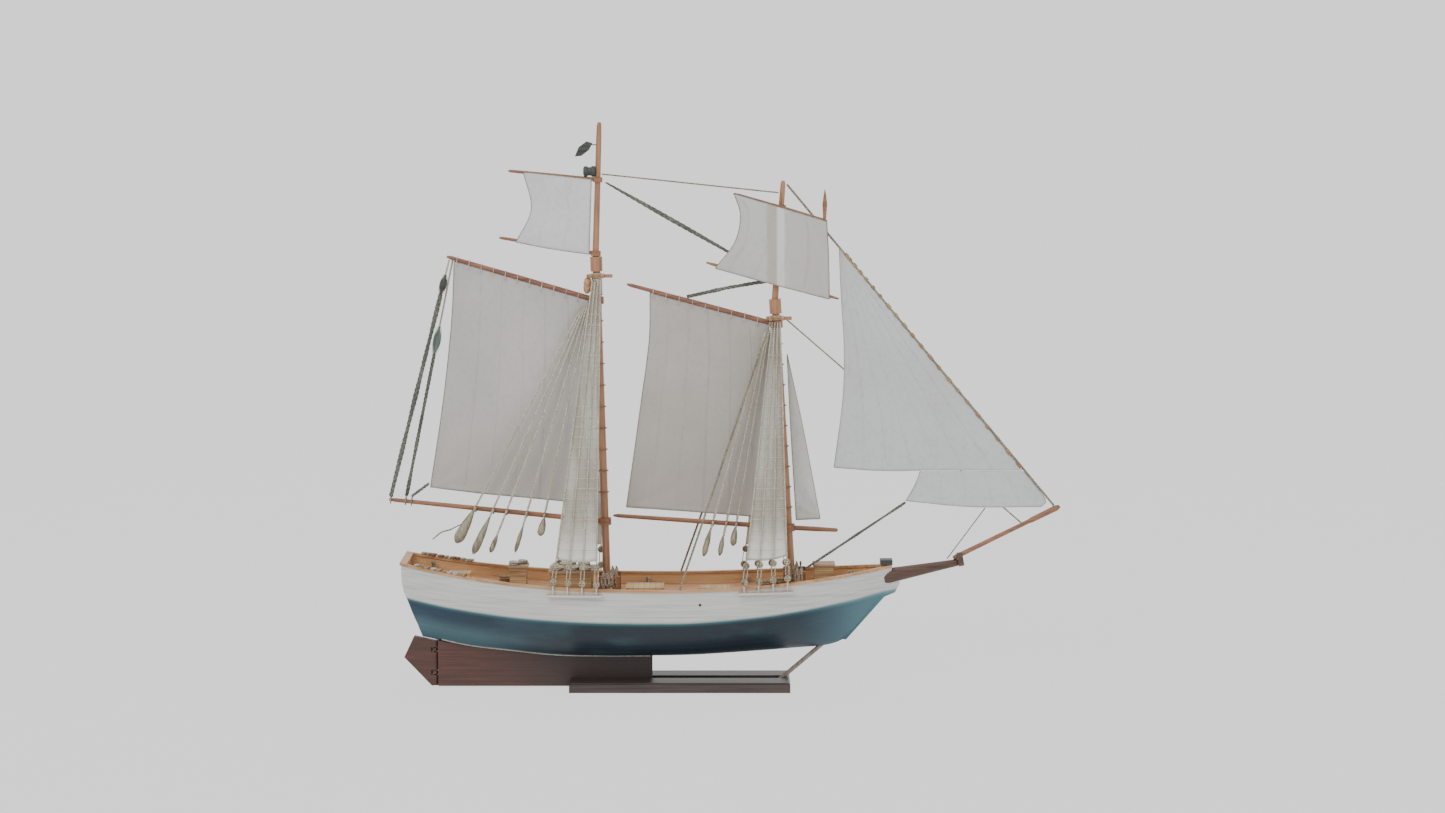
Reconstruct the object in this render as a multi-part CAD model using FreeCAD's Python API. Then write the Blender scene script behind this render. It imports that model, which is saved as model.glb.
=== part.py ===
"""Two-masted model sailing ship on a display board.

Millimetres, +X to the bow, +Z up, starboard is -Y. The origin is the centre of the
board's underside, and the board stands on Z = 0. One STEP per sub-part goes to parts/.
"""
import FreeCAD, Part
import math
import os

from FreeCAD import Vector

# Hull, measured on the centre plane
SHEER_LOW_X = -10.0           # where the top of the planking is lowest
SHEER_LOW_Z = 94.9
SHEER_RISE_AFT = 21.1
SHEER_RISE_FORE = 16.0
REACH_AFT = 238.0
REACH_FORE = 208.0
HULL_AFT_X = -258.0           # beyond the transom, which is cut afterwards
HULL_FORE_X = 191.0
DECK_DROP = 9.0               # deck top below the planking's top
DECK_THICK = 1.6
BULWARK_THICK = 2.4
RAIL_HEIGHT = 2.2
RAIL_OVERHANG = 0.9
RAIL_WIDTH = 4.6
KEEL_FLAT = 1.6               # half width of the hull's flat bottom
KEEL_LINE = [(-258, 53), (-233.5, 46.3), (-194, 38), (-162, 34.6), (-108, 29.6), (-25, 29.1),
             (20, 30), (99, 35.5), (131, 39.1), (150, 45.4), (185.4, 85.2), (191, 90.5)]
BEAM_LINE = [(-258, 34), (-249, 36.5), (-200, 45), (-150, 51.5), (-50, 57), (0, 57), (50, 54),
             (100, 45.5), (130, 36), (160, 22.5), (180, 10.5), (191, 4.5)]
TRANSOM_LINE = [(-249.6, 125), (-249.2, 101), (-247.5, 91), (-244, 82), (-241, 72), (-236.7, 59),
                (-233.5, 46.3), (-231, 36)]
STEM_OUTLINE = [(146, 44), (150, 43.6), (184.5, 82.8), (194, 86.8), (198.5, 95.5), (193, 110.5),
                (182, 110.5)]
STEM_HALF = 3.0

# Board, keel and rudder
BOARD_X = (-100.0, 99.0)
BOARD_HALF = 33.0
BOARD_HIGH = 9.0
BOARD_BEVEL = 1.6
GROOVE_HALF = 6.3
GROOVE_FLOOR = 3.0
KEEL_HALF = 5.0
KEEL_FORE_X = -25.5
KEEL_AFT_X = -219.6
KEEL_CLEAR = 1.3              # keel's lowest point above the table
SCREW_X = (-80.0, -45.0)
SCREW_RADIUS = 1.5
SCREW_TOP = 17.0
STRUT_FOOT = (88.0, 5.0)
STRUT_HEAD = (134.0, 44.0)
STRUT_RADIUS = 2.0
RUDDER_X = -223.0
RUDDER_HALF = 3.6
RUDDER_OUTLINE = [(-223, 1.6), (-225.6, 1.4), (-250.4, 27.5), (-241.4, 46.6), (-234.5, 45.2), (-223, 42.6)]
PINTLE_RADIUS = 1.2
PINTLE_CLEAR = 0.06
GUDGEON_Z = (12.0, 33.0)
GUDGEON_HIGH = 3.0

# Masts: foot and top of each axis as (x, z)
LOWER_RADIUS = 3.4
MAIN_LOWER = ((-65.4, 62.0), (-75.1, 384.0))
MAIN_TOP = ((-75.9, 384.0), (-72.0, 510.6))
FORE_LOWER = ((102.9, 62.0), (85.4, 346.0))
FORE_TOP = ((84.6, 346.0), (92.2, 458.5))
TOPMAST_RADIUS = 3.0
TRUCK_RADIUS = 2.1
CAP_RADIUS = 5.4
CAP_HALF = 6.5
RUNNING_CLEAR = 0.06
COLLAR_RADIUS = 5.7
COLLAR_HALF = 3.2

# Spars as ((x, z) tip, (x, z) at the mast)
MAIN_GAFF = ((-209.0, 390.6), (-74.2, 351.3))
MAIN_BOOM = ((-263.0, 171.2), (-68.9, 151.4))
FORE_GAFF = ((-47.7, 365.8), (86.6, 329.8))
FORE_BOOM = ((-60.6, 156.7), (97.9, 145.6))
FORE_CLUB_TIP = (142.2, 143.2)
MAIN_TOP_UPPER = ((-153.5, 467.3), (-73.6, 459.4))
MAIN_TOP_LOWER = ((-162.0, 407.6), (-75.6, 393.5))
FORE_TOP_UPPER = ((47.7, 447.3), (131.4, 422.8))
FORE_TOP_LOWER = ((23.4, 385.7), (142.2, 353.1))
YARD_SIDE = -7.0              # the fore yards hang in front of their mast
BOWSPRIT = ((184.0, 100.8), (252.0, 114.0))
JIB_BOOM = ((246.5, 117.6), (342.5, 165.0))
JACK_STAFF = ((129.2, 424.5), (129.4, 451.0))

# Sails: thin flat plates with these outlines as (x, z)
SAIL_THICK = 0.5
MAINSAIL = [(-202.5, 384.6), (-205.2, 333), (-213.3, 260.8), (-225.5, 182.4), (-181.8, 177), (-144, 173.4),
            (-77.5, 167), (-82.2, 350.6)]
FORESAIL = [(-27, 356.8), (-27.9, 315), (-35.1, 260.8), (-41.4, 215.6), (-48.8, 164.2), (18, 159.6),
            (91.5, 153.5), (79.6, 328.2)]
FORE_STAYSAIL = [(96.0, 303), (110.5, 236), (126.2, 153.5), (104.6, 152.6), (99.4, 236)]
MAIN_TOPSAIL = [(-137.7, 462.6), (-133.6, 433), (-146.7, 407.2), (-115, 398.4), (-81.4, 397.0),
                (-79.2, 456.6)]
FORE_TOPSAIL = [(48.5, 444.6), (53.4, 428), (48.6, 404), (33.5, 380.4), (82, 368.6), (133.6, 358.2),
                (131.6, 420.6)]
JIB = [(147.5, 392.6), (148.2, 324), (145.6, 260.8), (138.6, 200.4), (180, 197.4), (216.5, 197.6),
       (308.6, 197.6)]
JIB_BONNET = [(216.5, 197.2), (211.5, 184), (203.6, 170), (262, 164.6), (325.5, 164.6), (329, 172),
              (309.2, 197.2)]

# Rigging
SHROUD_RADIUS = 0.6
RATLINE_RADIUS = 0.3
RATLINE_STEP = 9.0
RATLINE_OUT = 1.7             # ratlines pass outside the shrouds by this much
MAIN_SHROUD_FEET = (-113.0, -100.0, -87.0, -74.0)
FORE_SHROUD_FEET = (57.0, 70.0, 83.0, 96.0)
HOUNDS_DROP = 12.0            # shrouds gather this far below the mast cap's middle
HOUNDS_HALF = 8.0
TREE_THICK = 2.4
TREE_HALF = 15.0
ROOF_OVER = 1.6
ROOF_THICK = 2.0
SEAT_GAP = 0.02               # what stands on the curved deck clears it by this much

# Deck fittings: houses as (aft x, fore x, half width, height above the deck)
AFT_COMPANION = (-154.0, -139.0, 10.0, 21.0)
MAIN_CABIN = (-117.0, -80.0, 19.0, 21.0)
FORE_COMPANION = (121.0, 138.0, 9.0, 20.0)
HATCHES = ((-49.0, -15.0, 15.0, 7.0), (17.0, 45.0, 12.0, 5.0), (-212.0, -190.0, 9.0, 7.0))
PIN_RAIL_HIGH = 17.0          # top of the pin rails above the deck
PIN_RAIL_SIDE = 15.0          # from the centre plane
PIN_RAIL_THICK = 3.0
PIN_RAIL_AFT = 8.0            # from the mast
PIN_RAIL_FORE = 12.0
PIN_RAIL_HALF = 1.6
POST_HALF = 1.4
PINS_PER_RAIL = 4
PIN_STEP = 3.6
PIN_HIGH = 5.0
BOLLARD_X = (-226.0, -30.0, 60.0, 154.0)
BOLLARD_INSET = 9.0           # from the planking
BOLLARD_HIGH = 7.0
BOW_BLOCK_HALF = 6.5
BOW_BLOCK_TOP = 116.8

# Shroud gear
CHANNEL_OUT = 5.0             # channels stand this far out of the planking
CHANNEL_DROP = 3.4            # channel's top below the planking's top
CHANNEL_THICK = 1.8
CHAIN_RADIUS = 0.7
DEADEYE_RADIUS = 3.0
DEADEYE_HALF = 1.4
DEADEYE_GAP = 15.0            # between the centres of a pair
LANYARD_RADIUS = 0.4
LANYARD_SIDE = 1.5
ROPE_GAP = 0.1                # between a rope's end and the deadeye it is seized to

# Lifts, their tackle blocks below the booms, and the vangs of the main gaff
MAIN_LIFT_HEAD = (-80.5, 345.5)
FORE_LIFT_HEAD = (81.0, 323.0)
LIFT_HEAD_SIDE = 4.6
LIFT_SIDE = 6.4
LIFT_SPREAD = 1.5             # between the lifts' upper ends
LIFT_RADIUS = 0.5
LIFT_OVER_BOOM = 3.0
LIFT_KNOT = 1.2               # gap between a lift's foot and its tail
# For each lift: foot x, then the block's distance down the tail, its length and its radius
MAIN_LIFTS = ((-184.0, 5.0, 33.0, 5.0), (-168.0, 10.0, 36.0, 3.6), (-156.0, 26.0, 16.0, 2.4),
              (-138.0, 12.0, 27.0, 1.9), (-122.0, 6.0, 15.0, 3.4))
FORE_LIFTS = ((30.0, 8.0, 26.0, 2.6), (42.0, 14.0, 18.0, 2.2), (51.0, 6.0, 16.0, 3.0))
BLOCK_SHAPE = ((0, 0.22), (0.25, 0.42), (0.6, 0.82), (0.82, 1.0), (0.95, 0.72), (1, 0.3))
VANG_LEAF_SHAPE = ((0, 0.25), (0.2, 0.7), (0.5, 1.0), (0.75, 0.8), (1, 0.3))
# For each vang: upper end, lower end, pendant length, block length, block radius, line radius
VANGS = (((-206.5, -4.2, 388.0), (-261.0, -3.2, 174.6), 14.0, 18.0, 2.8, 1.9),
         ((-204.0, 4.4, 388.0), (-247.5, 4.2, 174.0), 62.0, 26.0, 3.0, 1.5))
OUTHAUL = ((-242.0, -2.6, 174.6), (-226.6, -2.6, 186.0))
OUTHAUL_RADIUS = 1.2

# Standing and running lines
STAY_RADIUS = 0.6
MAIN_STAY_SHAPE = ((0, 0.8), (0.3, 2.0), (0.55, 2.2), (1, 0.8))
JIB_STAY = ((95.4, 0.0, 455.5), (337.0, 0.0, 165.8))
INNER_STAY = ((90.6, 4.2, 338.0), (309.0, 3.4, 148.6))
TRIATIC_STAY = ((-70.2, 0.0, 464.4), (88.0, 0.0, 447.8))
MAIN_STAY = ((-69.2, 3.2, 458.3), (83.0, 6.6, 372.0))
BACKSTAY_HEAD = (81.0, 10.0, 333.0)
BACKSTAY_FOOT_X = 0.0
JIB_SHEET_RADIUS = 1.1
JIB_SHEET_CLEW = (203.0, -1.6, 168.6)
JIB_SHEET_FOOT_X = 113.0
JIB_TACK = ((275.0, -1.6, 163.6), (241.0, -1.6, 117.4))

NODES = {}


def add(name, *solids):
    """Keeps one node, made of one or more separate solids."""
    pieces = [solid for shape in solids for solid in shape.Solids]
    NODES[name] = pieces[0] if len(pieces) == 1 else Part.makeCompound(pieces)


def biggest(shape):
    """The largest solid left after a cut."""
    return max(shape.Solids, key=lambda solid: solid.Volume)


def blend(points, x):
    """Smooth value of a hand-drawn line of (x, value) points at x."""
    if x <= points[0][0]:
        return points[0][1]
    for i in range(len(points) - 1):
        (x0, v0), (x1, v1) = points[i], points[i + 1]
        if x <= x1:
            before = points[max(i - 1, 0)]
            after = points[min(i + 2, len(points) - 1)]
            s0 = (v1 - before[1]) / (x1 - before[0])
            s1 = (after[1] - v0) / (after[0] - x0)
            h = x1 - x0
            t = (x - x0) / h
            return ((2 * t**3 - 3 * t**2 + 1) * v0 + (t**3 - 2 * t**2 + t) * h * s0
                    + (3 * t**2 - 2 * t**3) * v1 + (t**3 - t**2) * h * s1)
    return points[-1][1]


def sheer(x):
    """Height of the planking's top edge."""
    if x < SHEER_LOW_X:
        return SHEER_LOW_Z + SHEER_RISE_AFT * ((SHEER_LOW_X - x) / REACH_AFT) ** 2.5
    return SHEER_LOW_Z + SHEER_RISE_FORE * ((x - SHEER_LOW_X) / REACH_FORE) ** 1.85


def half_beam(x):
    return blend(BEAM_LINE, x)


def side(x, z):
    """Half breadth of the hull at height z: full amidships, finer towards the ends."""
    bottom, top = blend(KEEL_LINE, x), sheer(x)
    u = min(max((z - bottom) / (top - bottom), 0.0), 1.0)
    p = blend([(-258, 1.6), (-120, 2.4), (-20, 2.6), (90, 2.1), (191, 1.35)], x)
    q = blend([(-258, 0.9), (-120, 0.68), (-20, 0.62), (90, 0.8), (191, 1.0)], x)
    return KEEL_FLAT + (half_beam(x) - KEEL_FLAT) * (1 - (1 - u) ** p) ** q


def point(x, z, y=0.0):
    return Vector(x, y, z)


def prism(outline, low, high):
    """A flat outline of (x, z) points, pushed from y = low to y = high."""
    wire = Part.makePolygon([point(x, z, low) for x, z in outline + outline[:1]])
    return Part.Face(wire).extrude(Vector(0, high - low, 0))


def box(x0, x1, y0, y1, z0, z1):
    return Part.makeBox(x1 - x0, y1 - y0, z1 - z0, Vector(x0, y0, z0))


def rod(start, end, radius):
    return Part.makeCylinder(radius, (end - start).Length, start, end - start)


def turned(start, end, profile):
    """A turned spar from start to end: profile is (share of the length, radius)."""
    length = (end - start).Length
    rim = [Vector(r, 0, s * length) for s, r in profile]
    points = [Vector(0, 0, 0)] + rim + [Vector(0, 0, length)]
    face = Part.Face(Part.makePolygon(points + points[:1]))
    spar = face.revolve(Vector(0, 0, 0), Vector(0, 0, 1), 360)
    spar.Placement = FreeCAD.Placement(start, FreeCAD.Rotation(Vector(0, 0, 1), end - start))
    return spar


def ring(centre, axis, inner, outer, half):
    axis = Vector(axis).normalize()
    start = centre - axis * half
    bore = Part.makeCylinder(inner, 2 * half, start, axis)
    return Part.makeCylinder(outer, 2 * half, start, axis).cut(bore)


def on_mast(mast, z):
    """The point of a mast's axis at height z."""
    (x0, z0), (x1, z1) = mast
    return point(x0 + (x1 - x0) * (z - z0) / (z1 - z0), z)


def mast_axis(mast):
    return (point(*mast[1]) - point(*mast[0])).normalize()


def stations(first, last, count):
    return [first + (last - first) * i / (count - 1) for i in range(count)]


HULL_STATIONS = stations(HULL_AFT_X, 140.0, 17) + [152.0, 163.0, 173.0, 183.0, HULL_FORE_X]


def hull_section(x):
    """One closed hull section: flat keel, two curved sides and a straight top."""
    bottom, top = blend(KEEL_LINE, x), sheer(x)
    heights = [bottom + (top - bottom) * (1 - math.cos(math.pi * i / 16)) for i in range(9)]
    right = [Vector(x, side(x, z), z) for z in heights]
    left = [Vector(x, -side(x, z), z) for z in heights]
    curves = []
    for points in (left, right):
        curve = Part.BSplineCurve()
        curve.interpolate(points)
        curves.append(curve.toShape())
    keel = Part.makeLine(left[0], right[0])
    deck = Part.makeLine(right[-1], left[-1])
    return Part.Wire([keel, curves[1], deck, curves[0]])


def level_body(inset, low, high):
    """A body as wide as the hull's top less inset, between two heights given as functions of x."""
    wires = []
    for x in HULL_STATIONS:
        half = max(half_beam(x) - inset, 1.0)
        corners = [(-half, low(x)), (half, low(x)), (half, high(x)), (-half, high(x))]
        wires.append(Part.makePolygon([Vector(x, y, z) for y, z in corners + corners[:1]]))
    return Part.makeLoft(wires, True, False)


def deck_top(x):
    return sheer(x) - DECK_DROP


def deck_bottom(x):
    return deck_top(x) - DECK_THICK


def above(x):
    return sheer(x) + 30.0


def rail_bottom(x):
    return sheer(x) + SEAT_GAP


def rail_top(x):
    return sheer(x) + RAIL_HEIGHT


def make_hull():
    """Hull, deck, bulwarks, transom board, cap rails, stem and the piece at the bow rail's end."""
    body = Part.makeLoft([hull_section(x) for x in HULL_STATIONS], True, False)
    aft = prism(TRANSOM_LINE + [(-290, 36), (-290, 125)], -90, 90)
    body = body.cut(aft)
    over_deck = level_body(-30.0, deck_bottom, above)
    cavity = level_body(BULWARK_THICK, deck_bottom, above).cut(
        prism([(x + 2.6, z) for x, z in TRANSOM_LINE] + [(-290, 36), (-290, 125)], -90, 90))
    bowsprit = turned(point(*BOWSPRIT[0]), point(*BOWSPRIT[1]),
                      [(0, 7.2), (0.75, 4.0), (0.97, 3.2), (1, 2.4)])
    jib_boom = turned(point(*JIB_BOOM[0]), point(*JIB_BOOM[1]),
                      [(0, 1.5), (0.02, 2.2), (0.7, 1.9), (0.74, 2.5), (0.97, 2.7), (1, 1.4)])
    lower = body.cut(over_deck)
    stem = prism(STEM_OUTLINE, -STEM_HALF, STEM_HALF).cut(body).cut(bowsprit)
    bulwark = body.common(over_deck).cut(cavity).cut(bowsprit)
    deck_layer = level_body(-30.0, deck_bottom, deck_top)
    deck = deck_layer.common(cavity).common(body)
    transom_x = -245.5
    halves = {"starboard": box(transom_x, 300, -90, 0, 0, 200), "port": box(transom_x, 300, 0, 90, 0, 200)}
    outer_rail = level_body(-RAIL_OVERHANG, rail_bottom, rail_top)
    inner_rail = level_body(RAIL_WIDTH - RAIL_OVERHANG, lambda x: sheer(x) - 1, above)
    end_cut = prism([(x - 1.2, z) for x, z in TRANSOM_LINE] + [(-290, 36), (-290, 125)], -90, 90)
    inner_rail = inner_rail.cut(box(-290, -244.5, -90, 90, 0, 200))
    rail = outer_rail.cut(inner_rail).cut(end_cut)
    for name, half in halves.items():
        add("bulwark_" + name, bulwark.common(half))
    add("transom_board", bulwark.common(box(-290, transom_x, -90, 90, 0, 200)))
    bow_block = box(180.5, 191.5, -BOW_BLOCK_HALF, BOW_BLOCK_HALF, rail_top(191.5) + 0.1, BOW_BLOCK_TOP)
    add("bow_block", bow_block)
    rail_halves = {"starboard": box(-300, 300, -90, 0, 0, 200), "port": box(-300, 300, 0, 90, 0, 200)}
    for name, half in rail_halves.items():
        add("cap_rail_" + name, rail.common(half).cut(bowsprit).cut(stem))
    add("stem", biggest(stem))
    add("bowsprit", bowsprit.cut(lower).cut(jib_boom))
    add("jib_boom", jib_boom)
    cap_centre = point(250.6, 116.2)
    cap = Part.makeCylinder(6.4, 5.0, cap_centre, point(*BOWSPRIT[1]) - point(*BOWSPRIT[0]))
    add("bowsprit_cap", cap.cut(bowsprit).cut(jib_boom))
    return lower.cut(bowsprit), deck.cut(bowsprit)


def make_stand(hull):
    """Board, screws, strut, keel, and the rudder on its pintles; the strut and keel stop at the hull."""
    x0, x1 = BOARD_X
    bevel = BOARD_BEVEL
    outline = [(x0, 0), (x1, 0), (x1, BOARD_HIGH - bevel), (x1 - bevel, BOARD_HIGH)]
    outline += [(x0 + bevel, BOARD_HIGH), (x0, BOARD_HIGH - bevel)]
    board = prism(outline, -BOARD_HALF, BOARD_HALF)
    edge = BOARD_HALF - bevel
    for sign in (-1, 1):
        corner = [(sign * edge, BOARD_HIGH), (sign * BOARD_HALF, BOARD_HIGH - bevel),
                  (sign * (BOARD_HALF + 2), BOARD_HIGH + 2)]
        wire = Part.makePolygon([Vector(x0 - 1, y, z) for y, z in corner + corner[:1]])
        board = board.cut(Part.Face(wire).extrude(Vector(x1 - x0 + 2, 0, 0)))
    board = board.cut(box(x0 - 1, x1 - 8, -GROOVE_HALF, GROOVE_HALF, GROOVE_FLOOR, BOARD_HIGH + 1))
    keel_top = [(x, blend(KEEL_LINE, x) - 0.02) for x in stations(KEEL_AFT_X, KEEL_FORE_X, 12)]
    keel_low = [(KEEL_FORE_X, GROOVE_FLOOR), (x0 - 0.6, GROOVE_FLOOR)]
    keel_low += [(x0 - 1.4, KEEL_CLEAR), (KEEL_AFT_X, KEEL_CLEAR)]
    keel = prism(keel_top + keel_low, -KEEL_HALF, KEEL_HALF)
    swing_room = Part.makeCylinder(RUDDER_HALF + 0.5, 60, point(RUDDER_X, -5))
    keel = keel.cut(hull).cut(swing_room)
    screws = []
    for x in SCREW_X:
        shank = rod(point(x, 0.3), point(x, SCREW_TOP), SCREW_RADIUS)
        head = Part.makeCone(3.0, SCREW_RADIUS, 1.7, point(x, 0.3))
        screw = shank.fuse(head)
        screw = screw.cut(box(x - 2.4, x + 2.4, -0.35, 0.35, 0, 0.9))
        screws.append(screw)
        hole = rod(point(x, -1), point(x, GROOVE_FLOOR + 0.5), SCREW_RADIUS + 0.1)
        sink = Part.makeCone(3.3, SCREW_RADIUS + 0.1, 2.0, point(x, 0.0))
        board = board.cut(hole).cut(sink)
        keel = keel.cut(shank)
    strut = rod(point(*STRUT_FOOT), point(*STRUT_HEAD), STRUT_RADIUS)
    board = board.cut(strut)
    strut = strut.cut(hull)
    strut = biggest(strut)
    rudder = prism(RUDDER_OUTLINE, -RUDDER_HALF, RUDDER_HALF)
    nose = rod(point(RUDDER_X, 1.6), point(RUDDER_X, 42.6), RUDDER_HALF)
    rudder = rudder.fuse(nose).removeSplitter()
    gudgeons = []
    pintles = []
    for z in GUDGEON_Z:
        slot = Part.makeCylinder(RUDDER_HALF + 1, GUDGEON_HIGH + 1.6, point(RUDDER_X, z - 0.8))
        rudder = rudder.cut(slot)
        bore = PINTLE_RADIUS + PINTLE_CLEAR
        middle = point(RUDDER_X, z + GUDGEON_HIGH / 2)
        eye = ring(middle, (0, 0, 1), bore, RUDDER_HALF - 0.4, GUDGEON_HIGH / 2)
        arm = box(RUDDER_X + RUDDER_HALF - 1, KEEL_AFT_X + 4, -1.2, 1.2, z, z + GUDGEON_HIGH)
        arm = arm.cut(rod(point(RUDDER_X, z - 1), point(RUDDER_X, z + 5), bore))
        gudgeon = eye.fuse(arm)
        keel = keel.cut(gudgeon)
        gudgeons.append(gudgeon)
        pintle = rod(point(RUDDER_X, z - 5), point(RUDDER_X, z + GUDGEON_HIGH + 5), PINTLE_RADIUS)
        rudder = rudder.cut(pintle)
        pintles.append(pintle)
    add("base_board", board)
    add("keel_screws", *screws)
    add("bow_strut", strut)
    add("keel", keel)
    add("rudder_blade", rudder)
    add("rudder_gudgeons", *gudgeons)
    add("rudder_pintles", *pintles)


def make_masts(hull, deck):
    """Masts through the deck into the hull, caps, crosstrees and mast coats."""
    coats = []
    caps = []
    trees = []
    for name, low, top in (("main", MAIN_LOWER, MAIN_TOP), ("fore", FORE_LOWER, FORE_TOP)):
        foot, head = point(*low[0]), point(*low[1])
        lower = rod(foot, head, LOWER_RADIUS)
        upper = turned(point(*top[0]), point(*top[1]),
                       [(0, TOPMAST_RADIUS), (0.9, TRUCK_RADIUS + 0.3), (0.98, TRUCK_RADIUS),
                        (1, TRUCK_RADIUS - 0.7)])
        upper = upper.cut(lower)
        hull = hull.cut(lower)
        deck = deck.cut(lower)
        add(name + "_lower_mast", lower)
        add(name + "_topmast", upper)
        axis = mast_axis(low)
        cap = Part.makeCylinder(CAP_RADIUS, 2 * CAP_HALF, head - axis * CAP_HALF, axis).cut(lower).cut(upper)
        caps.append(cap)
        hounds = on_mast(low, head.z - HOUNDS_DROP)
        trees.append(crosstree(hounds).cut(lower))
        x = on_mast(low, deck_top(foot.x)).x
        coat_low = on_mast(low, deck_top(x) + 1.2)
        coat = Part.makeCone(6.4, 4.4, 4.0, coat_low - axis * 1.4, axis).cut(lower).cut(deck)
        coats.append(biggest(coat))
    add("mast_caps", *caps)
    add("crosstrees", *trees)
    add("mast_coats", *coats)
    return hull, deck


def crosstree(hounds):
    """Two fore-and-aft bars beside the mast, with a cross bar before and behind it."""
    high = hounds.z + TREE_THICK
    inner = LOWER_RADIUS + 0.1
    frame = None
    for sign in (-1, 1):
        y0, y1 = sorted((sign * inner, sign * (inner + TREE_THICK)))
        bar = box(hounds.x - 9, hounds.x + 14, y0, y1, hounds.z, high)
        frame = bar if frame is None else frame.fuse(bar)
    for x in (hounds.x - 6.4, hounds.x + 4.2):
        frame = frame.fuse(box(x, x + TREE_THICK, -TREE_HALF, TREE_HALF, hounds.z, high))
    return frame


def house(x0, x1, half, height):
    """A deck house: walls standing on the deck, and an overhanging roof."""
    base = min(deck_top(x0), deck_top(x1)) - 3
    top = deck_top((x0 + x1) / 2) + height
    walls = box(x0, x1, -half, half, base, top - ROOF_THICK).cut(under_deck())
    over = ROOF_OVER
    roof = box(x0 - over, x1 + over, -half - over, half + over, top - ROOF_THICK, top)
    return walls, roof


def under_deck():
    """Everything below the deck's top surface, for trimming what stands on it."""
    return level_body(-30.0, lambda x: deck_bottom(x) - 40, deck_top)


def hatch(x0, x1, half, height):
    """A flat-topped coaming standing on the deck."""
    top = deck_top((x0 + x1) / 2) + height
    return box(x0, x1, -half, half, top - 20, top).cut(under_deck())


def make_houses():
    """Companions, the main cabin, their roofs, and the hatches."""
    aft, aft_roof = house(*AFT_COMPANION)
    cabin, cabin_roof = house(*MAIN_CABIN)
    fore, fore_roof = house(*FORE_COMPANION)
    add("companions", aft, fore)
    add("main_cabin", cabin)
    add("house_roofs", aft_roof, cabin_roof, fore_roof)
    add("deck_hatches", *[hatch(*size) for size in HATCHES])


def make_pin_rails():
    """A pin rail on two posts at each side of each mast, with belaying pins standing on it."""
    rails = []
    pins = []
    for mast in (MAIN_LOWER, FORE_LOWER):
        centre = on_mast(mast, deck_top(mast[0][0])).x
        top = deck_top(centre) + PIN_RAIL_HIGH
        under = top - PIN_RAIL_THICK
        for sign in (-1, 1):
            y0, y1 = sign * PIN_RAIL_SIDE - PIN_RAIL_HALF, sign * PIN_RAIL_SIDE + PIN_RAIL_HALF
            rails.append(box(centre - PIN_RAIL_AFT, centre + PIN_RAIL_FORE, y0, y1, under, top))
            for x in (centre - PIN_RAIL_AFT + PIN_RAIL_HALF, centre + PIN_RAIL_FORE - PIN_RAIL_HALF):
                foot = max(deck_top(x - POST_HALF), deck_top(x + POST_HALF)) + SEAT_GAP
                inner, outer = sign * PIN_RAIL_SIDE - POST_HALF, sign * PIN_RAIL_SIDE + POST_HALF
                rails.append(box(x - POST_HALF, x + POST_HALF, inner, outer, foot, under))
            for i in range(PINS_PER_RAIL):
                foot = point(centre - 3 + PIN_STEP * i, top, sign * PIN_RAIL_SIDE)
                shape = [(0, 0.6), (0.5, 1.0), (0.85, 0.9), (1, 0.3)]
                pins.append(turned(foot, foot + Vector(0, 0, PIN_HIGH), shape))
    add("pin_rails", *rails)
    add("belaying_pins", *pins)


def make_bollards():
    bollards = []
    for x in BOLLARD_X:
        y = half_beam(x) - BOLLARD_INSET
        for sign in (-1, 1):
            foot = Vector(x, sign * y, max(deck_top(x - 2), deck_top(x + 2)) + SEAT_GAP)
            shape = [(0, 2.0), (0.7, 1.8), (0.78, 2.6), (1, 2.2)]
            bollards.append(turned(foot, foot + Vector(0, 0, BOLLARD_HIGH), shape))
    add("bollards", *bollards)


def shroud_points(mast, feet):
    """Upper ends and deadeye places of one side's shrouds; side is +1, mirrored by the caller."""
    head_z = mast[1][1] - HOUNDS_DROP
    head = on_mast(mast, head_z)
    places = []
    for i, x in enumerate(feet):
        y = half_beam(x) + CHANNEL_OUT - 1.6
        low = Vector(x, y, sheer(x) + 1.6)
        top = Vector(head.x - 3.6 + 2.4 * i, HOUNDS_HALF, head_z - 1.5)
        places.append((top, low))
    return places


def flip(vector, sign):
    return Vector(vector.x, sign * vector.y, vector.z)


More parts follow.
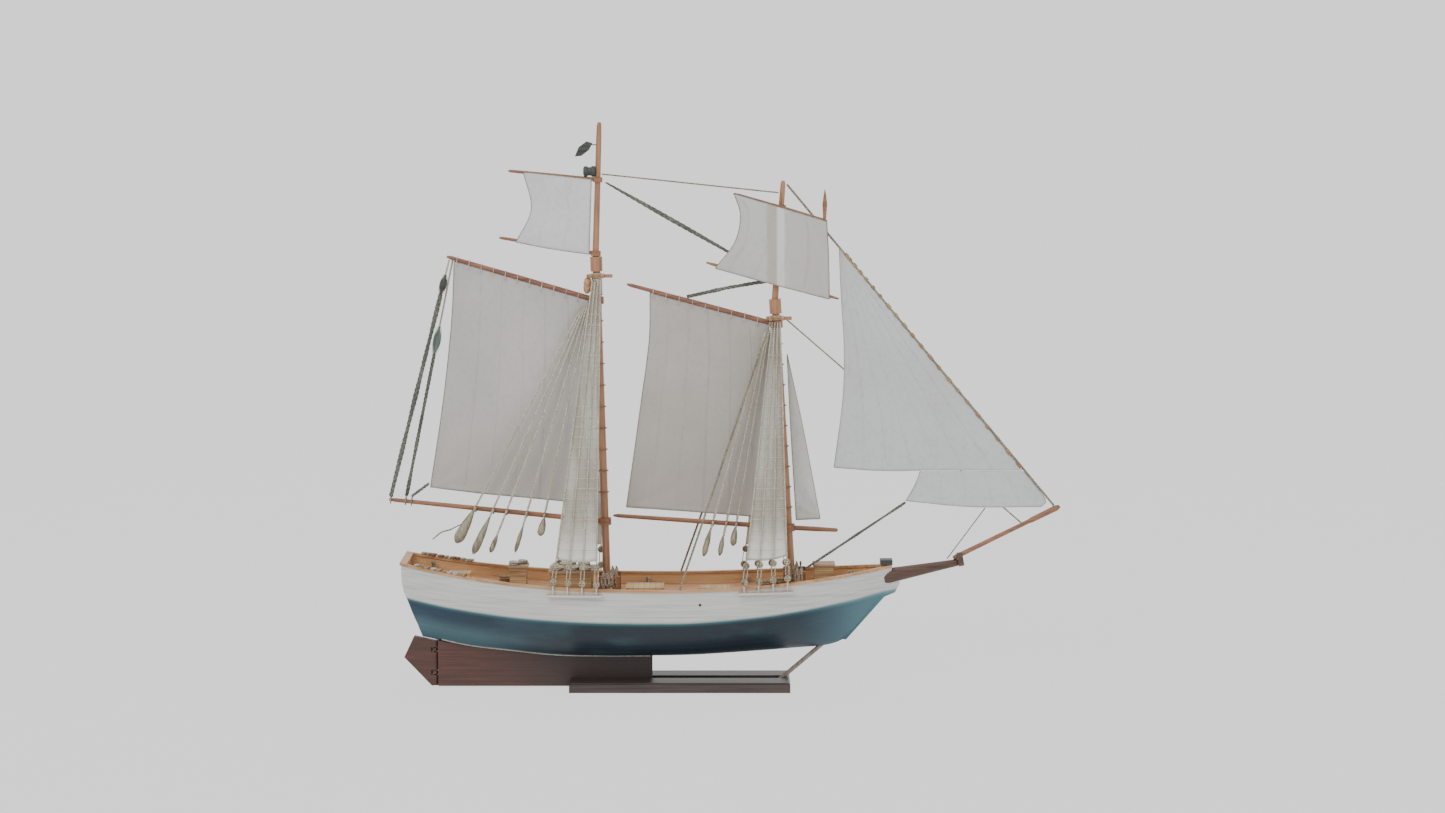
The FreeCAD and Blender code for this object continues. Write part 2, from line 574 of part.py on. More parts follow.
def make_shrouds():
    """Channels, deadeyes, shrouds and ratlines on both sides of both masts."""
    channels = []
    deadeyes = []
    shrouds = []
    ratlines = []
    for mast, feet in ((MAIN_LOWER, MAIN_SHROUD_FEET), (FORE_LOWER, FORE_SHROUD_FEET)):
        for sign in (-1, 1):
            places = shroud_points(mast, feet)
            x0, x1 = feet[0] - 5, feet[-1] + 5
            z = sheer((x0 + x1) / 2) - CHANNEL_DROP
            along_hull = stations(x0, x1, 6)
            plan = [Vector(x, sign * (half_beam(x) + 2 * SEAT_GAP), z) for x in along_hull]
            plan += [Vector(x, sign * (half_beam(x) + CHANNEL_OUT), z) for x in reversed(along_hull)]
            board = Part.Face(Part.makePolygon(plan + plan[:1]))
            channels.append(board.extrude(Vector(0, 0, -CHANNEL_THICK)))
            lines = []
            for top, low in places:
                along = (top - low).normalize()
                eye_low = low + along * 5.5
                eye_high = low + along * (5.5 + DEADEYE_GAP)
                out = Vector(0, 1, 0) - along * along.y
                out = out.normalize()
                for centre in (eye_low, eye_high):
                    centre_side = flip(centre, sign)
                    out_side = flip(out, sign)
                    face = centre_side - out_side * DEADEYE_HALF
                    deadeyes.append(Part.makeCylinder(DEADEYE_RADIUS, 2 * DEADEYE_HALF, face, out_side))
                chain_top = eye_low - along * (DEADEYE_RADIUS + 0.3)
                chain_foot = Vector(chain_top.x, chain_top.y - 0.3, z + 0.02)
                channels.append(rod(flip(chain_foot, sign), flip(chain_top, sign), CHAIN_RADIUS))
                start = eye_high + along * (DEADEYE_RADIUS + ROPE_GAP)
                lines.append((start, top))
                shrouds.append(rod(flip(start, sign), flip(top, sign), SHROUD_RADIUS))
                for shift in (-LANYARD_SIDE, LANYARD_SIDE):
                    lean = Vector(shift, 0, 0)
                    a = eye_low + along * (DEADEYE_RADIUS + ROPE_GAP) + lean
                    b = eye_high - along * (DEADEYE_RADIUS + ROPE_GAP) + lean
                    shrouds.append(rod(flip(a, sign), flip(b, sign), LANYARD_RADIUS))
            level = places[0][1].z + 34
            while level < places[0][0].z - 24:
                row = []
                for start, end in (lines[0], lines[-1]):
                    t = (level - start.z) / (end.z - start.z)
                    row.append(start + (end - start) * t)
                shift = Vector(0, RATLINE_OUT, 0)
                ratlines.append(rod(flip(row[0] + shift, sign), flip(row[1] + shift, sign), RATLINE_RADIUS))
                level += RATLINE_STEP
    add("channels", *channels)
    add("deadeyes", *deadeyes)
    add("shrouds", *shrouds)
    add("ratlines", *ratlines)


def make_stays():
    """Standing stays and the fixed running lines, each from a spar's surface to the next."""
    lines = [rod(Vector(*a), Vector(*b), STAY_RADIUS) for a, b in (JIB_STAY, INNER_STAY, TRIATIC_STAY)]
    lines.append(turned(Vector(*MAIN_STAY[0]), Vector(*MAIN_STAY[1]), MAIN_STAY_SHAPE))
    rail = rail_top(BACKSTAY_FOOT_X) + 0.4
    foot = Vector(BACKSTAY_FOOT_X, half_beam(BACKSTAY_FOOT_X) - 1.0, rail)
    for sign in (-1, 1):
        lines.append(rod(flip(Vector(*BACKSTAY_HEAD), sign), flip(foot, sign), STAY_RADIUS))
    spars = ("main_topmast", "fore_topmast", "fore_lower_mast", "mast_caps", "crosstrees", "jib_boom",
             "shrouds")
    pieces = []
    for line in lines:
        for name in spars:
            line = line.cut(NODES[name])
        pieces.append(biggest(line))
    add("stays", *pieces)
    sheet_foot = point(JIB_SHEET_FOOT_X, deck_top(JIB_SHEET_FOOT_X) + 18.4, -13.6)
    sheet = rod(Vector(*JIB_SHEET_CLEW), sheet_foot, JIB_SHEET_RADIUS)
    tack = rod(Vector(*JIB_TACK[0]), Vector(*JIB_TACK[1]), STAY_RADIUS).cut(NODES["bowsprit"])
    add("jib_lines", sheet, biggest(tack))


def sail_solid(outline, side_y=0.0):
    """A sail: a thin flat plate with its true outline."""
    return prism(outline, side_y - SAIL_THICK / 2, side_y + SAIL_THICK / 2)


def spar_along(tip, at_mast, radius, mast, outer):
    """A round spar from its tip to the outer surface of the ring, of radius outer, round its mast."""
    start, end = point(*tip), point(*at_mast)
    spar = turned(start, end, [(0, radius * 0.45), (0.03, radius * 0.8), (0.5, radius), (1, radius)])
    axis = mast_axis(mast)
    core = Part.makeCylinder(outer, 24, on_mast(mast, at_mast[1]) - axis * 12, axis)
    return biggest(spar.cut(core))


def collar(mast, z):
    """A loose ring round a lower mast, free to turn."""
    return ring(on_mast(mast, z), mast_axis(mast), LOWER_RADIUS + RUNNING_CLEAR, COLLAR_RADIUS, COLLAR_HALF)


def lifts(head, sizes, boom_tip, boom_mast):
    """Lift lines from above the gaff's jaws to the boom, and a long tackle block on each one's tail."""
    lines = []
    blocks = []
    (x0, z0), (x1, z1) = boom_tip, boom_mast
    for i, (x, tail, long, radius) in enumerate(sizes):
        boom_z = z0 + (z1 - z0) * (x - x0) / (x1 - x0)
        for sign in (-1, 1):
            top = point(head[0] - LIFT_SPREAD * (len(sizes) - i), head[1], sign * LIFT_HEAD_SIDE)
            foot = Vector(x, sign * LIFT_SIDE, boom_z + LIFT_OVER_BOOM)
            lines.append(rod(top, foot, LIFT_RADIUS))
            down = Vector(foot.x - top.x, 0, foot.z - top.z).normalize()
            block_top = foot + down * tail
            lines.append(rod(foot + down * LIFT_KNOT, block_top, LIFT_RADIUS))
            shape = [(share, r * radius) for share, r in BLOCK_SHAPE]
            blocks.append(turned(block_top, block_top + down * long, shape))
    return lines, blocks


def vang(top, low, pendant, long, block_radius, line_radius):
    """A thin pendant from the gaff's tip, a block, and a heavy line down to the boom."""
    start, end = Vector(*top), Vector(*low)
    down = (end - start).normalize()
    head, foot = start + down * pendant, start + down * (pendant + long)
    block = turned(head, foot, [(s, r * block_radius) for s, r in VANG_LEAF_SHAPE])
    return [rod(start, head, LIFT_RADIUS), rod(foot, end, line_radius)], block


def make_main_rig():
    """Main boom, gaff and mainsail, which swing together round the main lower mast."""
    boom_ring = collar(MAIN_LOWER, MAIN_BOOM[1][1])
    gaff_ring = collar(MAIN_LOWER, MAIN_GAFF[1][1])
    add("main_boom", spar_along(*MAIN_BOOM, 2.3, MAIN_LOWER, COLLAR_RADIUS))
    add("main_gaff", spar_along(*MAIN_GAFF, 2.2, MAIN_LOWER, COLLAR_RADIUS))
    add("main_collars", boom_ring, gaff_ring)
    add("mainsail", sail_solid(MAINSAIL))
    lines, blocks = lifts(MAIN_LIFT_HEAD, MAIN_LIFTS, *MAIN_BOOM)
    for sizes in VANGS:
        ropes, block = vang(*sizes)
        lines += ropes
        blocks.append(block)
    lines.append(rod(Vector(*OUTHAUL[0]), Vector(*OUTHAUL[1]), OUTHAUL_RADIUS))
    add("main_lifts", *lines)
    add("main_blocks", *blocks)


def make_fore_rig():
    """Fore boom, gaff, foresail and staysail, which swing together round the fore lower mast."""
    boom_ring = collar(FORE_LOWER, FORE_BOOM[1][1])
    gaff_ring = collar(FORE_LOWER, FORE_GAFF[1][1])
    boom = spar_along(*FORE_BOOM, 2.2, FORE_LOWER, COLLAR_RADIUS)
    club = spar_along(FORE_CLUB_TIP, FORE_BOOM[1], 2.2, FORE_LOWER, COLLAR_RADIUS)
    add("fore_boom", boom, club)
    add("fore_gaff", spar_along(*FORE_GAFF, 2.1, FORE_LOWER, COLLAR_RADIUS))
    add("fore_collars", boom_ring, gaff_ring)
    add("foresail", sail_solid(FORESAIL))
    add("fore_staysail", sail_solid(FORE_STAYSAIL))
    lines, blocks = lifts(FORE_LIFT_HEAD, FORE_LIFTS, *FORE_BOOM)
    add("fore_lifts", *lines)
    add("fore_blocks", *blocks)


def make_topsails():
    """Both topsails with their yards and the parrels that turn on the topmasts."""
    rings = []
    yards = []
    for tip, at_mast in (MAIN_TOP_UPPER, MAIN_TOP_LOWER):
        centre = on_mast(MAIN_TOP, at_mast[1])
        radius = top_radius(MAIN_TOP, at_mast[1])
        outer = radius + RUNNING_CLEAR + 1.6
        loop = ring(centre, mast_axis(MAIN_TOP), radius + RUNNING_CLEAR, outer, 2.2)
        rings.append(loop)
        yards.append(spar_along(tip, at_mast, 1.7, MAIN_TOP, outer))
    add("main_topsail_parrels", *rings)
    add("main_topsail_yards", *yards)
    add("main_topsail", biggest(sail_solid(MAIN_TOPSAIL).cut(Part.makeCompound(yards))))
    rings = []
    yards = []
    for aft, fore in (FORE_TOP_UPPER, FORE_TOP_LOWER):
        share = 0.0
        for _ in range(4):
            z = aft[1] + (fore[1] - aft[1]) * share
            share = (on_mast(FORE_TOP, z).x - aft[0]) / (fore[0] - aft[0])
        centre = on_mast(FORE_TOP, z)
        radius = top_radius(FORE_TOP, z)
        loop = ring(centre, mast_axis(FORE_TOP), radius + RUNNING_CLEAR, radius + RUNNING_CLEAR + 1.6, 2.2)
        yard = turned(point(*aft, YARD_SIDE), point(*fore, YARD_SIDE),
                      [(0, 0.8), (0.06, 1.4), (0.5, 1.8), (0.94, 1.4), (1, 0.8)])
        loop = loop.cut(yard)
        rings.append(biggest(loop))
        yards.append(yard)
    add("fore_topsail_parrels", *rings)
    staff = turned(point(*JACK_STAFF[0], YARD_SIDE), point(*JACK_STAFF[1], YARD_SIDE),
                   [(0, 1.4), (0.5, 2.2), (0.8, 1.2), (1, 0.3)])
    add("fore_topsail_yards", *yards, staff.cut(yards[0]))
    add("fore_topsail", biggest(sail_solid(FORE_TOPSAIL, YARD_SIDE).cut(Part.makeCompound(yards))))


def top_radius(mast, z):
    """Radius of a tapered topmast at height z."""
    share = (z - mast[0][1]) / (mast[1][1] - mast[0][1])
    return TOPMAST_RADIUS + (TRUCK_RADIUS + 0.3 - TOPMAST_RADIUS) * share / 0.9


def make_headsails():
    """The jib and the bonnet laced to its foot, both on the outer stay."""
    for name, outline in (("jib", JIB), ("jib_bonnet", JIB_BONNET)):
        add(name, biggest(sail_solid(outline).cut(NODES["stays"])))


def main():
    hull, deck = make_hull()
    make_stand(hull)
    hull, deck = make_masts(hull, deck)
    add("hull", hull)
    add("deck", deck)
    make_houses()
    make_pin_rails()
    make_bollards()
    make_shrouds()
    make_stays()
    make_main_rig()
    make_fore_rig()
    make_topsails()
    make_headsails()
    os.makedirs("parts", exist_ok=True)
    for name, shape in NODES.items():
        shape.exportStep("parts/" + name + ".step")
        b = shape.BoundBox
        print("%-24s solids %3d valid %s" % (name, len(shape.Solids), shape.isValid()),
              "x %.1f..%.1f y %.1f..%.1f z %.1f..%.1f" % (b.XMin, b.XMax, b.YMin, b.YMax, b.ZMin, b.ZMax))
    print(len(NODES), "nodes")


main()
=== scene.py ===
import random
from functools import partialmethod
from math import atan2, cos, exp, pi, radians, sin

import bmesh
import bpy
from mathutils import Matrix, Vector, noise
from mathutils.bvhtree import BVHTree


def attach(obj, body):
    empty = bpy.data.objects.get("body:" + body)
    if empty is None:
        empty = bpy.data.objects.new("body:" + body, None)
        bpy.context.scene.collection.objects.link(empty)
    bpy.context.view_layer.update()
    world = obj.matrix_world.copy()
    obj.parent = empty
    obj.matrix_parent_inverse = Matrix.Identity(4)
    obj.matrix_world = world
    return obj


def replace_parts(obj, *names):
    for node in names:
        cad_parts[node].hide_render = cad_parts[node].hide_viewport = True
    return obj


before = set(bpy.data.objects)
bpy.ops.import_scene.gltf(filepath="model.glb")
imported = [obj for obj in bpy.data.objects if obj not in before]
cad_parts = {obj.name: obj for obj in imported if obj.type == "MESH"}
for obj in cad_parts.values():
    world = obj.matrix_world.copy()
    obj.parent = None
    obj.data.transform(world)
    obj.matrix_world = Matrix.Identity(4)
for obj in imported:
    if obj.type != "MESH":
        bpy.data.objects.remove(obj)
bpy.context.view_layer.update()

random.seed(7)
scene = bpy.context.scene
MM = 0.001
UP = Vector((0, 0, 1))
PORT = Vector((0, 1, 0))

# Camera: a long lens a little above the deck, square to the starboard side
CAMERA_AIM = Vector((0.038, 0.0, 0.2555))
CAMERA_DISTANCE = 3.071
CAMERA_ELEVATION = radians(6.0)
CAMERA_LENS = 85.0

# Lights: name, place, size and power
LIGHTS = (("key", (-1.3, -2.2, 2.3), 1.8, 66), ("fill", (2.2, -1.8, 1.2), 2.2, 26),
          ("top", (0.0, 0.4, 2.8), 2.4, 26))
LIGHTS_AIM = Vector((0.03, 0.0, 0.2))

# The sweep behind the ship: its own glow and how much light it reflects; and the light from all around
SWEEP_GLOW = 1.16
SWEEP_TONE = 0.10
SKY_TONE = 0.80
SKY_STRENGTH = 0.70

# Paint line of the hull, in metres: lowest at PAINT_X, rising aft and forward
PAINT_X = -0.010
PAINT_Z = 0.0669
PAINT_RISE_AFT = 0.0188
PAINT_RISE_FORE = 0.0242
REACH_AFT = 0.233
REACH_FORE = 0.208

# Rope coils as (x, y, radius), in millimetres
ROOF_COILS = ((-150, -4, 5.0), (-143, 5, 4.2), (-111, -12, 5.6), (-98, -10, 6.2), (-86, -13, 5.2),
              (-104, 11, 6.0), (-88, 10, 5.4))
DECK_COILS = ((-168, -31, 6.2), (-160, 28, 5.8), (-68, -26, 6.4), (-62, 26, 6.0), (70, -26, 6.6),
              (82, -18, 6.0), (78, 22, 6.2), (92, 27, 5.6), (150, -12, 5.0))
COIL_ROPE = 0.0009
# Flakes of rope along the after rail: how far out the rail is at its after end, and how much more per flake
FLAKES = 9
FLAKES_FROM_X = -0.236
FLAKE_STEP = 0.0052
FLAKE_ROPE = 0.0006
RAIL_MIDDLE_AFT = 0.0372
RAIL_SPREAD = 0.00083
# Hanks of rope on the belaying pins
PIN_HANK_WIDTH = 0.0022
PIN_HANK_ROPE = 0.00055

# Where the dark disc of painted scupper shade sits, on each side.
SCUPPER_SHADE_X, SCUPPER_SHADE_Z = 0.018, 0.0838
# A pale bead along the keel joint paints a highlight there: where it starts, its step, how far out and its
# thickness.
HIGHLIGHT_BEAD_FROM_X = -0.216
HIGHLIGHT_BEAD_STEP = 0.0032
HIGHLIGHT_BEAD_Y = 0.0056
HIGHLIGHT_BEAD_RADIUS = 0.0008
HANK_COUNT = 22
HANK_RADIUS = 0.0014
HOOP_COUNT = 9
HOOP_RADIUS = 0.0052
WIRE = 0.0005
PLANK_HULL = 0.0052
CLOTH_THICKNESS = 0.00028
THREAD_PITCH = 0.0011
MESH_PITCH = 0.0016
HEM = 0.0035
PANEL = 0.024
PANEL_SEAM = 0.0016
BONNET_SEAM_X = 0.2170
BONNET_SEAM_Z = 0.1974

HEAD, LEECH, FOOT, LUFF = "head", "leech", "foot", "luff"


def sail_sides(tack, throat, peak, clew, luff=(), head=(), leech=(), foot=()):
    """The four sides of a sail from its corners and the points between them."""
    return {LUFF: [tack, *luff, throat], HEAD: [throat, *head, peak], LEECH: [peak, *leech, clew],
            FOOT: [tack, *foot, clew]}


# Sails as (x, z) points in millimetres, at the places of their CAD plates
SAILS = {
    "mainsail": sail_sides(
        (-77.5, 167), (-82.2, 351.2), (-202.5, 386.4), (-225.5, 182.4), luff=[(-79.6, 258)],
        head=[(-142, 368.7)], leech=[(-205.2, 333), (-213.3, 260.8)], foot=[(-144, 173.4), (-181.8, 177)]),
    "foresail": sail_sides(
        (91.5, 153.5), (79.6, 329.4), (-27, 358.1), (-48.8, 164.2), luff=[(85.6, 240)],
        head=[(26, 343.7)], leech=[(-27.9, 315), (-35.1, 260.8), (-41.4, 215.6)], foot=[(18, 159.6)]),
    "fore_staysail": sail_sides(
        (104.6, 152.6), (96, 303), (96, 303), (126.2, 153.5), luff=[(99.4, 236)],
        leech=[(110.5, 236)], foot=[(115, 153.2)]),
    "main_topsail": sail_sides(
        (-81.4, 392.8), (-79.2, 459.6), (-139.7, 466), (-146.7, 403.6), luff=[(-80.3, 427)],
        head=[(-110, 463)], leech=[(-133, 433)], foot=[(-115, 397.6)]),
    "fore_topsail": sail_sides(
        (133.6, 353), (131, 422.4), (48.5, 447), (31.5, 380.6), luff=[(132.8, 390)],
        head=[(90, 434.8)], leech=[(54, 428), (49, 404)], foot=[(82, 366.6)]),
    "jib": sail_sides(
        (308.6, 197.6), (142.6, 398.4), (142.6, 398.4), (138.6, 200.4), luff=[(225, 298.6)],
        leech=[(143.6, 375), (144.8, 352), (147.4, 306), (146.2, 260.8)],
        foot=[(216.5, 197.6), (180, 197.4)]),
    "jib_bonnet": sail_sides(
        (325.5, 164.6), (309.2, 197.2), (216.5, 197.2), (203.6, 170), luff=[(329, 172)],
        head=[(262, 197.2)], leech=[(211.5, 184)], foot=[(262, 164.6)]),
}


# ---- materials

def colour(red, green, blue):
    """An sRGB colour, 0 to 255, as linear RGBA."""
    def linear(value):
        value = value / 255.0
        return value / 12.92 if value <= 0.04045 else ((value + 0.055) / 1.055) ** 2.4
    return (linear(red), linear(green), linear(blue), 1.0)


class Nodes:
    """Short calls for building one material's node tree."""

    def __init__(self, name, roughness=0.6):
        self.material = bpy.data.materials.new(name)
        self.material.use_nodes = True
        self.tree = self.material.node_tree
        self.shader = self.tree.nodes["Principled BSDF"]
        self.set("Roughness", roughness)
        self.place = self.make("ShaderNodeTexCoord").outputs["Object"]

    def put(self, socket, value):
        """Links a socket, or sets its value; three whole numbers are an sRGB colour."""
        if isinstance(value, bpy.types.NodeSocket):
            self.tree.links.new(value, socket)
        else:
            is_shade = isinstance(value, tuple) and len(value) == 3
            socket.default_value = colour(*value) if is_shade else value

    def set(self, name, value):
        """Sets or links an input of the material's shader."""
        self.put(self.shader.inputs[name], value)

    def make(self, kind, inputs=(), **settings):
        node = self.tree.nodes.new(kind)
        for key, value in settings.items():
            setattr(node, key, value)
        for key, value in dict(inputs).items():
            self.put(node.inputs[key], value)
        return node

    def math(self, operation, *values, clamp=False):
        return self.make("ShaderNodeMath", enumerate(values), operation=operation, use_clamp=clamp).outputs[0]

    plus = partialmethod(math, "ADD")
    minus = partialmethod(math, "SUBTRACT")
    times = partialmethod(math, "MULTIPLY")
    divided = partialmethod(math, "DIVIDE")
    power = partialmethod(math, "POWER")
    absolute = partialmethod(math, "ABSOLUTE")
    most = partialmethod(math, "MAXIMUM")
    above = partialmethod(math, "GREATER_THAN")

    def xyz(self, vector=None):
        return self.make("ShaderNodeSeparateXYZ", {0: vector or self.place}).outputs

    def noise(self, scale, detail=4.0, rough=0.55, distortion=0.0):
        """Noise with its own scale per axis, in cells per metre."""
        place = self.make("ShaderNodeMapping", {"Vector": self.place, "Scale": Vector(scale)}).outputs[0]
        inputs = {"Vector": place, "Scale": 1.0, "Detail": detail, "Roughness": rough,
                  "Distortion": distortion}
        return self.make("ShaderNodeTexNoise", inputs).outputs["Fac"]

    def between(self, value, low, high):
        """0 below low, rising smoothly to 1 above high."""
        inputs = {"Value": value, "From Min": low, "From Max": high}
        return self.make("ShaderNodeMapRange", inputs, interpolation_type="SMOOTHSTEP").outputs[0]

    def band(self, value, low, high, soft):
        """1 between low and high, falling to 0 over soft on either side."""
        rising = self.between(value, low - soft, low)
        return self.minus(rising, self.between(value, high, high + soft), clamp=True)

    def stripes(self, value, low, high):
        """Soft stripes, one at each whole number of the value; low and high set their width and edge."""
        part = self.math("FRACT", value)
        return self.between(self.absolute(self.minus(part, 0.5)), low, high)

    def mix(self, factor, first, second, blend="MIX"):
        inputs = {0: factor, 6: first, 7: second}
        return self.make("ShaderNodeMix", inputs, data_type="RGBA", blend_type=blend).outputs[2]

    def stain(self, base, mask, amount, shade):
        """Lays a shade over the base by an amount, where the mask is."""
        return self.mix(self.times(mask, amount), base, shade)

    def bump(self, height, distance, strength=0.6):
        """Adds fine relief on top of any that is there."""
        node = self.make("ShaderNodeBump", {"Distance": distance, "Strength": strength, "Height": height})
        for link in self.shader.inputs["Normal"].links:
            self.put(node.inputs["Normal"], link.from_socket)
        self.set("Normal", node.outputs[0])

    def finish(self, base, rough=None):
        self.set("Base Color", base)
        if rough is not None:
            self.set("Roughness", rough)
        return self.material


def along(axis, length_scale, cross_scale):
    """A noise scale stretched along one axis."""
    scale = [cross_scale] * 3
    scale["xyz".index(axis)] = length_scale
    return tuple(scale)


def wood(name, light, dark, axis="x", roughness=0.5, wear_and_highlight=0.25, extra=None):
    """Wood with long grain, fine pores and uneven stain."""
    n = Nodes(name, roughness)
    grain = n.noise(along(axis, 14, 420), 8, 0.62, 0.35)
    pores = n.noise(along(axis, 60, 2400), 4, 0.7)
    cloudy = n.noise((16, 16, 16), 3)
    base = n.mix(n.between(grain, 0.34, 0.66), dark, light)
    base = n.stain(base, n.between(pores, 0.56, 0.74), 0.35, dark)
    pale = tuple(min(1.0, c * 1.35) for c in colour(*light)[:3]) + (1.0,)
    base = n.stain(base, n.between(cloudy, 0.42, 0.68), wear_and_highlight, pale)
    if extra:
        base = extra(n, base)
    n.bump(grain, 0.00035)
    n.bump(pores, 0.00012)
    rough = n.plus(n.times(grain, 0.22), roughness - 0.1)
    return n.finish(base, rough)


def planked(axis, width, line_colour):
    """Adds thin dark joints between planks of one width, measured along an axis."""
    def extra(n, base):
        across = n.plus(n.divided(n.xyz()["XYZ".index(axis)], width), 100.5)
        joint = n.stripes(across, 0.46, 0.49)
        plank = n.make("ShaderNodeTexWhiteNoise", {"W": n.math("FLOOR", across)}, noise_dimensions="1D")
        shade = n.plus(n.times(plank.outputs["Value"], 0.34), 0.82)
        tone = n.make("ShaderNodeCombineColor", {0: shade, 1: shade, 2: shade})
        base = n.mix(1.0, base, tone.outputs[0], "MULTIPLY")
        n.bump(n.minus(1.0, joint), 0.0004)
        return n.stain(base, joint, 0.85, line_colour)
    return extra


def paint_line(n):
    """Height of the paint line at each place along the hull."""
    x, _, z = n.xyz()
    aft = n.divided(n.most(n.minus(PAINT_X, x), 0.0), REACH_AFT)
    fore = n.divided(n.most(n.minus(x, PAINT_X), 0.0), REACH_FORE)
    rise = n.times(n.power(aft, 2.8), PAINT_RISE_AFT)
    rise = n.plus(rise, n.times(n.power(fore, 1.75), PAINT_RISE_FORE))
    return x, z, n.plus(rise, PAINT_Z)


def hull_paint():
    """White topsides over a teal bottom; bare wood inside; faint plank seams. The teal carries painted shade,
    darker amidships and deeper below the paint line, and painted highlight, lighter towards the ends, forward
    and low down aft.
    """
    n = Nodes("hull_paint", 0.42)
    n.set("Specular IOR Level", 0.28)
    x, z, line = paint_line(n)
    wobble = n.times(n.minus(n.noise((22, 22, 22), 3), 0.5), 0.0012)
    over = n.plus(n.minus(z, line), wobble)
    cloud = n.noise((14, 14, 40), 4)
    streak = n.noise((18, 18, 520), 5, 0.6)
    white = n.mix(n.between(streak, 0.4, 0.68), (193, 193, 189), (177, 178, 174))
    white = n.stain(white, n.between(cloud, 0.5, 0.72), 0.4, (198, 193, 186))
    # Painted shade and highlight on the teal: darker amidships and deeper below the paint line, lighter
    # towards both ends and forward.
    ends = n.between(n.absolute(n.plus(x, 0.02)), 0.075, 0.215)
    fore = n.between(x, 0.10, 0.19)
    deep = n.mix(ends, (28, 40, 48), (32, 54, 70))
    deep = n.mix(fore, deep, (76, 110, 120))
    glow = n.mix(fore, (54, 98, 104), (98, 138, 142))
    depth = n.times(over, -1.0)
    teal = n.mix(n.between(depth, 0.0, 0.0045), glow, deep)
    # Painted highlight: the teal is lighter low down aft, next to the keel.
    wear_and_highlight = n.times(n.between(depth, 0.010, 0.027), n.between(n.times(x, -1.0), 0.11, 0.19))
    teal = n.stain(teal, wear_and_highlight, 0.5, (84, 118, 124))
    teal = n.stain(teal, n.between(cloud, 0.5, 0.72), 0.14, (84, 124, 136))
    base = n.mix(n.between(over, -0.0016, 0.0012), teal, white)
    normal = n.xyz(n.make("ShaderNodeTexCoord").outputs["Normal"])
    inward = n.times(normal[1], n.math("SIGN", n.xyz()[1]))
    at_stern = n.times(n.math("LESS_THAN", x, -0.235), n.above(normal[0], 0.3))
    facing = n.most(n.math("LESS_THAN", inward, -0.2), at_stern)
    facing = n.most(facing, n.above(normal[2], 0.6))
    inside = n.times(facing, n.above(over, 0.0))
    grain = n.noise((14, 420, 420), 6)
    planking = n.mix(grain, (176, 134, 94), (220, 176, 130))
    base = n.mix(inside, base, planking)
    seam = n.stripes(n.plus(n.divided(over, PLANK_HULL), 40.0), 0.455, 0.49)
    base = n.stain(base, seam, 0.16, (70, 80, 86))
    n.bump(n.minus(1.0, seam), 0.0003, 0.5)
    n.bump(streak, 0.00018, 0.5)
    return n.finish(base, n.plus(n.times(cloud, 0.18), 0.34))


def mast_shade(n, base):
    """The fore topsail is paler in a strip before its mast, a painted highlight on the ridge the mast makes
    in the cloth, has painted shade in a strip aft of that ridge, and is pinker forward.
    """
    x = n.xyz()[0]
    base = n.stain(base, n.between(x, 0.094, 0.100), 0.5, (196, 188, 184))
    # Painted shade in a strip aft of the mast's ridge in the cloth.
    base = n.stain(base, n.band(x, 0.080, 0.0845, 0.004), 0.55, (178, 162, 140))
    # Painted highlight on the mast's ridge in the cloth.
    return n.stain(base, n.band(x, 0.0875, 0.0925, 0.0015), 0.8, (226, 226, 222))


def foot_shade(n, base):
    """The gaff sails darken a little towards the foot."""
    low = n.minus(1.0, n.between(n.xyz()[2], 0.165, 0.285))
    return n.stain(base, low, 0.5, (172, 162, 152))


def cloth(name, tint, stain, extra=None):
    """Thin plain-weave cotton that lets some light through."""
    n = Nodes(name, 0.9)
    x, _, z = n.xyz()
    threads = [n.math("SINE", n.times(place, 2 * pi / THREAD_PITCH)) for place in (x, z)]
    weave = n.times(*threads)
    cloud = n.noise((9, 9, 9), 4)
    fine = n.noise((260, 260, 260), 3)
    base = n.mix(n.between(cloud, 0.34, 0.68), tint, stain)
    base = n.stain(base, n.between(fine, 0.45, 0.8), 0.16, (128, 122, 112))
    base = n.stain(base, n.between(weave, 0.1, 0.9), 0.10, (236, 235, 230))
    if extra:
        base = extra(n, base)
    n.bump(weave, 0.00012, 0.5)
    n.bump(fine, 0.00020, 0.5)
    n.finish(base)
    n.set("Sheen Weight", 0.15)
    through = n.make("ShaderNodeBsdfTranslucent", {"Color": base})
    blend = n.make("ShaderNodeMixShader", {0: 0.22, 1: n.shader.outputs[0], 2: through.outputs[0]})
    n.put(n.tree.nodes["Material Output"].inputs["Surface"], blend.outputs[0])
    return n.material


def gauze():
    """Thin netting between the shrouds: open at the top, close and white at its foot, faintly streaked."""
    n = Nodes("gauze", 0.9)
    x, _, z = n.xyz()
    thread = n.most(*[n.stripes(n.divided(place, MESH_PITCH), 0.20, 0.30) for place in (x, z)])
    streak = n.noise((70, 70, 7), 4)
    base = n.mix(n.between(streak, 0.38, 0.62), (196, 194, 184), (170, 163, 148))
    foot = n.between(n.times(z, -1.0), -0.165, -0.125)
    base = n.stain(base, foot, 0.8, (218, 218, 212))
    n.finish(base)
    close = n.plus(n.times(foot, 0.5), n.times(streak, 0.62))
    cover = n.plus(n.times(thread, 0.34), close, clamp=True)
    n.set("Alpha", cover)
    return n.material


def rope_material(name, light, dark):
    n = Nodes(name, 0.85)
    fibre = n.noise((900, 900, 900), 4)
    cloud = n.noise((40, 40, 24), 3)
    base = n.mix(n.between(fibre, 0.35, 0.65), dark, light)
    base = n.stain(base, n.between(cloud, 0.44, 0.66), 0.55, dark)
    n.bump(fibre, 0.00015)
    return n.finish(base)


